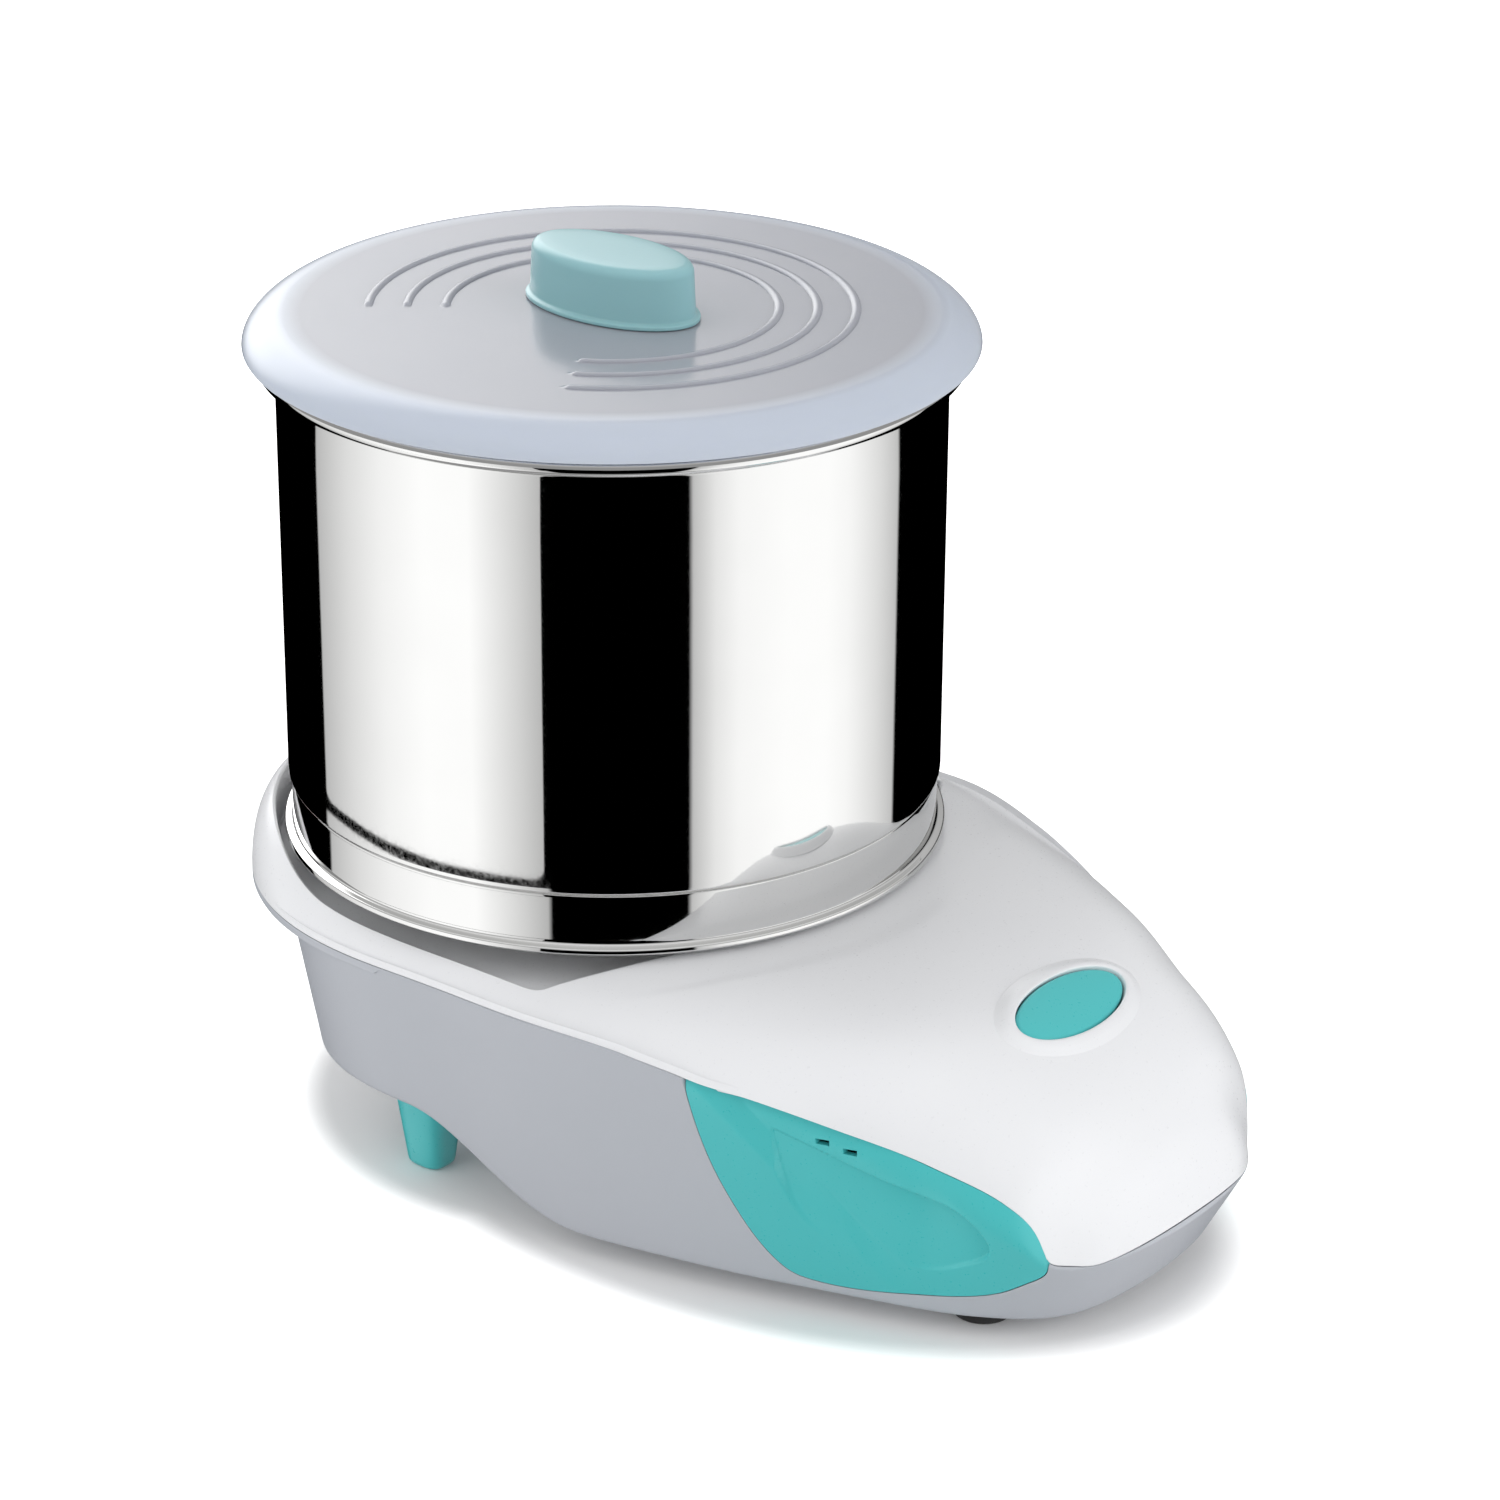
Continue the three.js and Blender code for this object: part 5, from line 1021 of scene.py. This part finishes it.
def ovalRings(profile, halfWidth, halfLength):
    return [(halfWidth + grow, halfLength + grow, height) for grow, height in profile]


topCover = addTopCover()
halves = (button["halfWidth"], button["halfLength"])
holeRings = ovalRings([(button["hole"], -14), (button["hole"], 8)], *halves)
cutAway(topCover, tiltPiece(ringBody("buttonHole", holeRings, 96)))
topCover = joinPieces(topCover, [buttonRing()])
finishPiece(topCover, "white_plastic", "base", ["top_cover"])

startButton = ringBody("startButton", ovalRings(roundedProfile(button["profile"], 6), *halves), 160)
stem = turnedBody("buttonStem", button["stem"], 32, closed=False)
startButton = tiltPiece(joinPieces(startButton, [stem]))
finishPiece(startButton, "teal_plastic", "button", ["start_button"])
print("base done")


# Feet

foot = {
    "side": 82.5, "behind": 11.5, "top": 11.0, "endWidth": 6.5, "endLength": 7.5, "height": 33.2,
    "toe": [(2.4, 0), (1.0, 0.35), (0.3, 1.1), (0, 2.4)], "power": 3.2,  # inset and height
}
pad = {
    "side": 42.0, "behind": -190.0,
    "profile": [(6.2, 1.2), (6.2, 0.0, 0.3), (10, 0, 1.2), (10, 6.7, 0.3), (9, 6.7)],
}
for name, side in (("Left", -1), ("Right", 1)):
    rings = [(foot["endWidth"] - inset, foot["endLength"] - inset, height)
             for inset, height in foot["toe"]]
    toeTop = rings[-1]
    legTop = (foot["top"], foot["top"], foot["height"])
    rings += [tuple(blended(low, high, share) for low, high in zip(toeTop, legTop))
              for share in (0.25, 0.5, 0.75, 1.0)]
    rearFoot = standAt(ringBody("rearFoot" + name, rings, 64, power=foot["power"]),
                       side * foot["side"], foot["behind"])
    finishPiece(rearFoot, "teal_plastic", "base", ["rear_foot_" + name.lower()])
    padProfile = [(6.0, 1.2)] + roundedProfile(pad["profile"], 5)
    rubberPad = turnedBody("frontPad" + name, padProfile, 64, closed=False)
    finishPiece(standAt(rubberPad, side * pad["side"], pad["behind"]), "rubber", "base",
                ["front_pad_" + name.lower()])


# Drum

drum = {
    "radius": 110.0, "wall": 1.0, "step": 125.0, "neck": 106.9, "floor": 106.5,
    "beadHeight": 271.8, "beadOffset": 3.8, "beadRadius": 3.2, "tube": 11.3, "shoulder": 267.0,
    # The bead's round in half turns, and the heights of rows that keep the long wall's shading true
    "beadTurn": (-0.78, 0.85), "rows": (127.2, 130.0, 140.0, 200.0, 250.0),
    # The ring round the drum's foot, with the flange that stands out under it
    "baseRing": [(101.3, 104.5), (110.9, 104.5, 0.5), (112.0, 105.4, 0.6), (111.6, 107.0, 0.7),
                 (109.0, 107.3, 1.0), (109.0, 109.0), (109.0, 116.0), (109.0, 123.6),
                 (109.0, 124.7, 0.5), (107.3, 124.7, 0.3), (107.3, 106.2, 0.6), (101.3, 106.2)],
}


def drumProfile():
    # Up the outside from the tube in the middle, round the bead and down the inside
    turns = np.linspace(*drum["beadTurn"], 22) * math.pi
    bead = [(drum["radius"] + drum["beadOffset"] + drum["beadRadius"] * math.cos(turn),
             drum["beadHeight"] + drum["beadRadius"] * math.sin(turn)) for turn in turns]
    radius, floor, step = drum["radius"], drum["floor"], drum["step"]
    inner, neck = radius - drum["wall"], drum["neck"] - drum["wall"]
    lower = [(drum["tube"], floor), (drum["neck"], floor, 1.5), (drum["neck"], step, 0.4),
             (radius - 0.6, step, 0.25), (radius, step + 0.9, 0.7)]
    lower += [(radius, height) for height in drum["rows"]]
    lower += [(radius, drum["shoulder"], 2.5), bead[0]]
    upper = [bead[-1], (inner, bead[-1][1] - 1.2, 1.0)]
    upper += [(inner, height) for height in drum["rows"][:1:-1]]
    upper += [(inner, step + 2.0, 1.0), (neck, step + 1.0, 0.6), (neck, floor + 1.2, 2.0),
              (drum["tube"], floor + 1.2)]
    return roundedProfile(lower, 6)[:-1] + bead + roundedProfile(upper, 5)[1:]


for name, node, profile in (("drumShell", "drum_shell", drumProfile()),
                            ("drumBaseRing", "drum_base_ring", roundedProfile(drum["baseRing"], 6))):
    finishPiece(standAt(turnedBody(name, profile, 256)), "mirror_steel", "drum", [node], 40)
print("drum done")


# Lid and handle

lid = {
    "radius": 120.3, "edge": 275.2, "plateauRadius": 106.6, "plateau": 284.8, "wall": 2.0,
    "power": 1.7, "ribRadii": (54.1, 66.6, 79.2), "ribWidth": 3.0, "ribHeight": 0.9,
    "ribStart": 129.0, "ribSweep": 278.0,
    # Radii of the rows on the plateau inside and outside the arcs, and rows across each arc
    "inside": (2.0, 20.0, 40.0, 51.0), "outside": (85.0, 95.0, 103.0),
    "ribRows": (-1.9, -1.55, -1.45, -1.25, -0.9, -0.45, 0, 0.45, 0.9, 1.25, 1.45, 1.55, 1.9),
    "skirt": 115.2,
    # Under the rim: the ring that sits on the drum's bead, and the wall that reaches into the drum
    "seat": [(114.6, 279.6), (114.6, 275.5), (114.4, 275.3), (112.4, 275.3), (112.2, 275.5),
             (112.2, 280.6)],
    "spigot": [(108.0, 281.9), (108.0, 267.3), (107.7, 267.0), (106.5, 267.0), (106.2, 267.3)],
}


def lidArc(shrink, steps):
    run, rise = lid["radius"] - lid["plateauRadius"], lid["plateau"] - lid["edge"]
    result = []
    for turn in np.linspace(0, math.pi / 2, steps + 1):
        x, z = run * math.cos(turn) ** (2 / lid["power"]), rise * math.sin(turn) ** (2 / lid["power"])
        result.append((lid["plateauRadius"] + x * (1 - shrink / run),
                       lid["edge"] + z * (1 - shrink / rise)))
    return result


def ribRise(x, y):
    # Height of the raised arcs: round in section, and round at their ends
    radius = np.hypot(x, y)
    turned = np.degrees(np.arctan2(y, x))
    fromStart = (lid["ribStart"] - turned) % 360
    past = np.minimum(np.maximum(fromStart - lid["ribSweep"], 0), np.maximum(360 - fromStart, 0))
    away = np.where(fromStart > lid["ribSweep"], np.radians(past) * radius, 0)
    rise = 0
    for ribRadius in lid["ribRadii"]:
        distance = np.hypot(radius - ribRadius, away) / (lid["ribWidth"] / 2)
        rise = rise + np.sqrt(np.clip(1 - distance ** 2, 0, 1)) * lid["ribHeight"]
    return rise


def addLid():
    under = lid["plateau"] - lid["wall"]
    ribs = [radius + offset for radius in lid["ribRadii"] for offset in lid["ribRows"]]
    top = [(radius, lid["plateau"]) for radius in (*lid["inside"], *ribs, *lid["outside"])]
    outer = lidArc(0, 18)[::-1]
    inside = lidArc(lid["wall"], 10)
    skirt = [point for point in inside if point[0] > lid["skirt"]]
    lip = [(lid["radius"] - 0.3, lid["edge"] - 0.05), (lid["radius"] - 1.6, lid["edge"])]
    ceiling = [(radius, under) for radius in (106.2, 60.0, 2.0)]
    profile = top + outer + lip + skirt + lid["seat"] + lid["spigot"] + ceiling
    obj = turnedBody("lidShell", profile, 384, closed=False)
    for vertex in obj.data.vertices:
        if abs(vertex.co.z - lid["plateau"] * mm) < 1e-7:
            vertex.co.z += ribRise(vertex.co.x / mm, vertex.co.y / mm) * mm
    return standAt(obj)


finishPiece(addLid(), "milky_plastic", "lid", ["lid"], 40)

handle = {
    "halfLength": 32.0, "halfWidth": 18.0, "bottom": 285.1,
    "profile": [(-2.4, 0), (1.5, 0, 0.3), (1.5, 1.3, 0.6), (0.0, 1.9, 0.8), (-0.8, 19.0, 3.4),
                (-8, 19.15), (-12, 19.2)],
}
handleRings = ovalRings(
    [(grow, handle["bottom"] + height) for grow, height in roundedProfile(handle["profile"], 7)],
    handle["halfWidth"], handle["halfLength"])
finishPiece(standAt(ringBody("lidHandle", handleRings, 192)), "handle_plastic", "lid",
            ["lid_handle"], 40)
print("lid done")


# Studio: a pale floor, a soft sky with a brighter side, and panels that only reflections see

studio = {
    # The paper glows by itself away from the base, so that it shows white, and hardly at all in the
    # base's own shade: inside an oval round the nose or a circle round the drum's axis. The lift
    # grows between two shares of their half widths.
    "paper": "#F0F0F0", "nearLift": 0.04, "farLift": 1.0, "nearShare": 1.02, "farShare": 1.24,
    "nearWidth": 99.0, "nearLength": 152.0, "nearMiddle": -17.0, "rearRadius": 97.0,
    "ambient": 0.54,
    # What shiny surfaces see of the sky: dim, with a bright soft patch far behind on the left
    "skyDim": 0.35, "skyTop": 0.9, "skyGlow": 3.2,
    "glowTurn": 68.0, "glowRise": 24.0, "glowSpread": 17.0,
    # Azimuth and elevation in degrees, strength and width of each lamp
    "lamps": {"lampLeft": (156, 15, 1.02, 60), "lampRight": (-76, 15, 1.65, 60),
              "lampBehind": (92, 55, 0.82, 60)},
    "wallRadius": 520.0, "wallLow": -420.0, "wallHigh": 170.0, "wallLight": 1.3,
    # Degrees from the camera, brightness: two white panels, softer towards their edges
    "panels": [(-180, 0), (-110.8, 0), (-110.2, 0.48), (-93, 0.72), (-77, 0.9), (-61, 1), (-45, 1),
               (-34, 0.76), (-28.5, 0.64), (-20.9, 0.46), (-20.5, 0), (22.9, 0), (23.3, 0.5), (31, 0.8),
               (38.5, 0.94), (55, 1), (70, 1), (79, 0.94), (93, 0.72), (103.3, 0.52), (103.8, 0),
               (180, 0)],
    # The left panel's foot climbs along its span, its lower corners are round, and below a gap the
    # white goes on
    "footSpan": (-110, -21), "footRise": 6.5, "panelFoot": -74.0, "gapFoot": -79.0, "blur": 0.5,
    "cornerEnds": (-110.6, -21.9), "cornerTurn": 4.5, "cornerRise": 5.4,
}


def towards(turn, rise):
    # A direction from its azimuth and elevation in degrees
    turn, rise = math.radians(turn), math.radians(rise)
    return Vector((math.cos(turn) * math.cos(rise), math.sin(turn) * math.cos(rise), math.sin(rise)))


def addFloor():
    bpy.ops.object.select_all(action="DESELECT")
    bpy.ops.mesh.primitive_plane_add(size=16, location=(0, 0, 0))
    floor = bpy.context.object
    floor.name = "studioFloor"
    material, tree, coordinates = newMaterial("studioPaper")
    paper = addNode(tree, "BsdfDiffuse", {"Color": linearColour(studio["paper"])})
    nose = planDistance(tree, coordinates, (0.0, studio["nearMiddle"] * mm),
                        (studio["nearWidth"] * mm, studio["nearLength"] * mm))
    rear = planDistance(tree, coordinates, (0.0, axisY), [studio["rearRadius"] * mm] * 2)
    nearest = addNode(tree, "Math", [nose, rear], operation="MINIMUM")
    lift = addNode(tree, "MapRange", [nearest, studio["nearShare"], studio["farShare"],
                                      studio["nearLift"], studio["farLift"]],
                   interpolation_type="SMOOTHSTEP")
    toCamera = addNode(tree, "LightPath").outputs["Is Camera Ray"]
    power = addNode(tree, "Math", [toCamera, lift], operation="MULTIPLY")
    glow = addNode(tree, "Emission", {"Strength": power})
    addNode(tree, "OutputMaterial", {"Surface": addNode(tree, "AddShader", [paper, glow])})
    floor.data.materials.append(material)
    floor.visible_glossy = False


def addPanelWall():
    bpy.ops.object.select_all(action="DESELECT")
    depth = (studio["wallHigh"] - studio["wallLow"]) * mm
    bpy.ops.mesh.primitive_cylinder_add(
        vertices=96, radius=studio["wallRadius"] * mm, depth=depth, end_fill_type="NOTHING",
        location=atPlace(0, 0, (studio["wallHigh"] + studio["wallLow"]) / 2))
    wall = bpy.context.object
    wall.name = "studioPanelWall"
    bpy.ops.object.transform_apply(location=True, rotation=True, scale=True)
    material, tree, coordinates = newMaterial("studioPanels")
    split = addNode(tree, "SeparateXYZ", [coordinates])
    # Degrees round the drum's axis from the camera's side
    toCamera = math.atan2(cameraView["place"][1], cameraView["place"][0])
    behind = addNode(tree, "Math", [split.outputs["Y"], axisY], operation="SUBTRACT")
    turn = addNode(tree, "Math", [behind, split.outputs["X"]], operation="ARCTAN2")
    turn = addNode(tree, "Math", [turn, toCamera], operation="SUBTRACT")
    turn = addNode(tree, "Math", [turn, math.pi, -math.pi], operation="WRAP")
    degrees = addNode(tree, "Math", [turn, 180 / math.pi], operation="MULTIPLY")
    ramp = addNode(tree, "ValToRGB", [addNode(tree, "MapRange", [degrees, -180, 180, 0, 1])])
    stops = ramp.color_ramp.elements
    stops.remove(stops[1])
    for place, (angle, level) in enumerate(studio["panels"]):
        stop = stops[0] if place == 0 else stops.new((angle + 180) / 360)
        stop.position = (angle + 180) / 360
        stop.color = (level, level, level, 1)
    climb = addNode(tree, "MapRange", [degrees, *studio["footSpan"], 0, studio["footRise"]])
    height = addNode(tree, "Math", [split.outputs["Z"], mm], operation="DIVIDE")
    height = addNode(tree, "Math", [height, climb], operation="SUBTRACT")
    # Distance out from the middle of a rounded corner, in shares of its two radii
    first, last = studio["cornerEnds"]
    fromFirst = addNode(tree, "Math", [degrees, first], operation="SUBTRACT")
    fromLast = addNode(tree, "Math", [last, degrees], operation="SUBTRACT")
    fromEnd = addNode(tree, "Math", [fromFirst, fromLast], operation="MINIMUM")
    fromFoot = addNode(tree, "Math", [height, studio["panelFoot"]], operation="SUBTRACT")
    squares = []
    for distance, radius in ((fromEnd, studio["cornerTurn"]), (fromFoot, studio["cornerRise"])):
        share = addNode(tree, "Math", [distance, radius], operation="DIVIDE")
        short = addNode(tree, "Math", [1, share], operation="SUBTRACT")
        short = addNode(tree, "Math", [short, 0], operation="MAXIMUM")
        squares.append(addNode(tree, "Math", [short, short], operation="MULTIPLY"))
    both = addNode(tree, "Math", squares, operation="ADD")
    corner = addNode(tree, "Math", [both], operation="SQRT")
    upper = addNode(tree, "MapRange", [corner, 0.95, 1.0, 1, 0])
    foot = studio["gapFoot"]
    lower = addNode(tree, "MapRange", [height, foot - studio["blur"], foot, 1, 0])
    # The right panel reaches down without a gap.
    right = addNode(tree, "Math", [degrees, 0], operation="GREATER_THAN")
    mask = addNode(tree, "Math", [upper, lower], operation="MAXIMUM")
    mask = addNode(tree, "Math", [mask, right], operation="MAXIMUM")
    level = addNode(tree, "Math", [ramp, mask], operation="MULTIPLY")
    level = addNode(tree, "Math", [level, studio["wallLight"]], operation="MULTIPLY")
    glow = addNode(tree, "Emission", {"Strength": level})
    addNode(tree, "OutputMaterial", {"Surface": glow})
    wall.data.materials.append(material)
    wall.visible_camera = wall.visible_diffuse = False
    wall.visible_shadow = wall.visible_transmission = False


def addWorld():
    world = bpy.data.worlds.new("studioWorld")
    bpy.context.scene.world = world
    world.use_nodes = True
    tree = world.node_tree
    tree.nodes.clear()
    rays = addNode(tree, "LightPath")
    direction = addNode(tree, "TexCoord").outputs["Generated"]
    glowSide = towards(studio["glowTurn"], studio["glowRise"])
    facing = addNode(tree, "VectorMath", [direction, glowSide], operation="DOT_PRODUCT")
    glowEdge = math.cos(math.radians(2 * studio["glowSpread"]))
    patch = addNode(tree, "MapRange", [facing.outputs["Value"], glowEdge, 1, 0, studio["skyGlow"]],
                    interpolation_type="SMOOTHSTEP")
    rise = addNode(tree, "SeparateXYZ", [direction]).outputs["Z"]
    plain = addNode(tree, "MapRange", [rise, 0.2, 0.9, studio["skyDim"], studio["skyTop"]])
    mirrored = addNode(tree, "Math", [patch, plain], operation="ADD")
    seen = addNode(tree, "Mix", {
        "Factor": rays.outputs["Is Glossy Ray"], 2: studio["ambient"], 3: mirrored},
        data_type="FLOAT")
    power = addNode(tree, "Mix", {
        "Factor": rays.outputs["Is Camera Ray"], 2: seen, 3: 1.0}, data_type="FLOAT")
    light = addNode(tree, "Background", {"Color": (1.0, 1.0, 1.0, 1.0), "Strength": power})
    addNode(tree, "OutputWorld", {"Surface": light})


def addLamp(name, turn, rise, strength, width):
    data = bpy.data.lights.new(name, "SUN")
    data.energy = strength
    data.angle = math.radians(width)
    lamp = bpy.data.objects.new(name, data)
    bpy.context.scene.collection.objects.link(lamp)
    lamp.rotation_euler = towards(turn, rise).to_track_quat("Z", "Y").to_euler()
    lamp.visible_glossy = False


addFloor()
addPanelWall()
addWorld()
for name, values in studio["lamps"].items():
    addLamp(name, *values)
print("studio done")
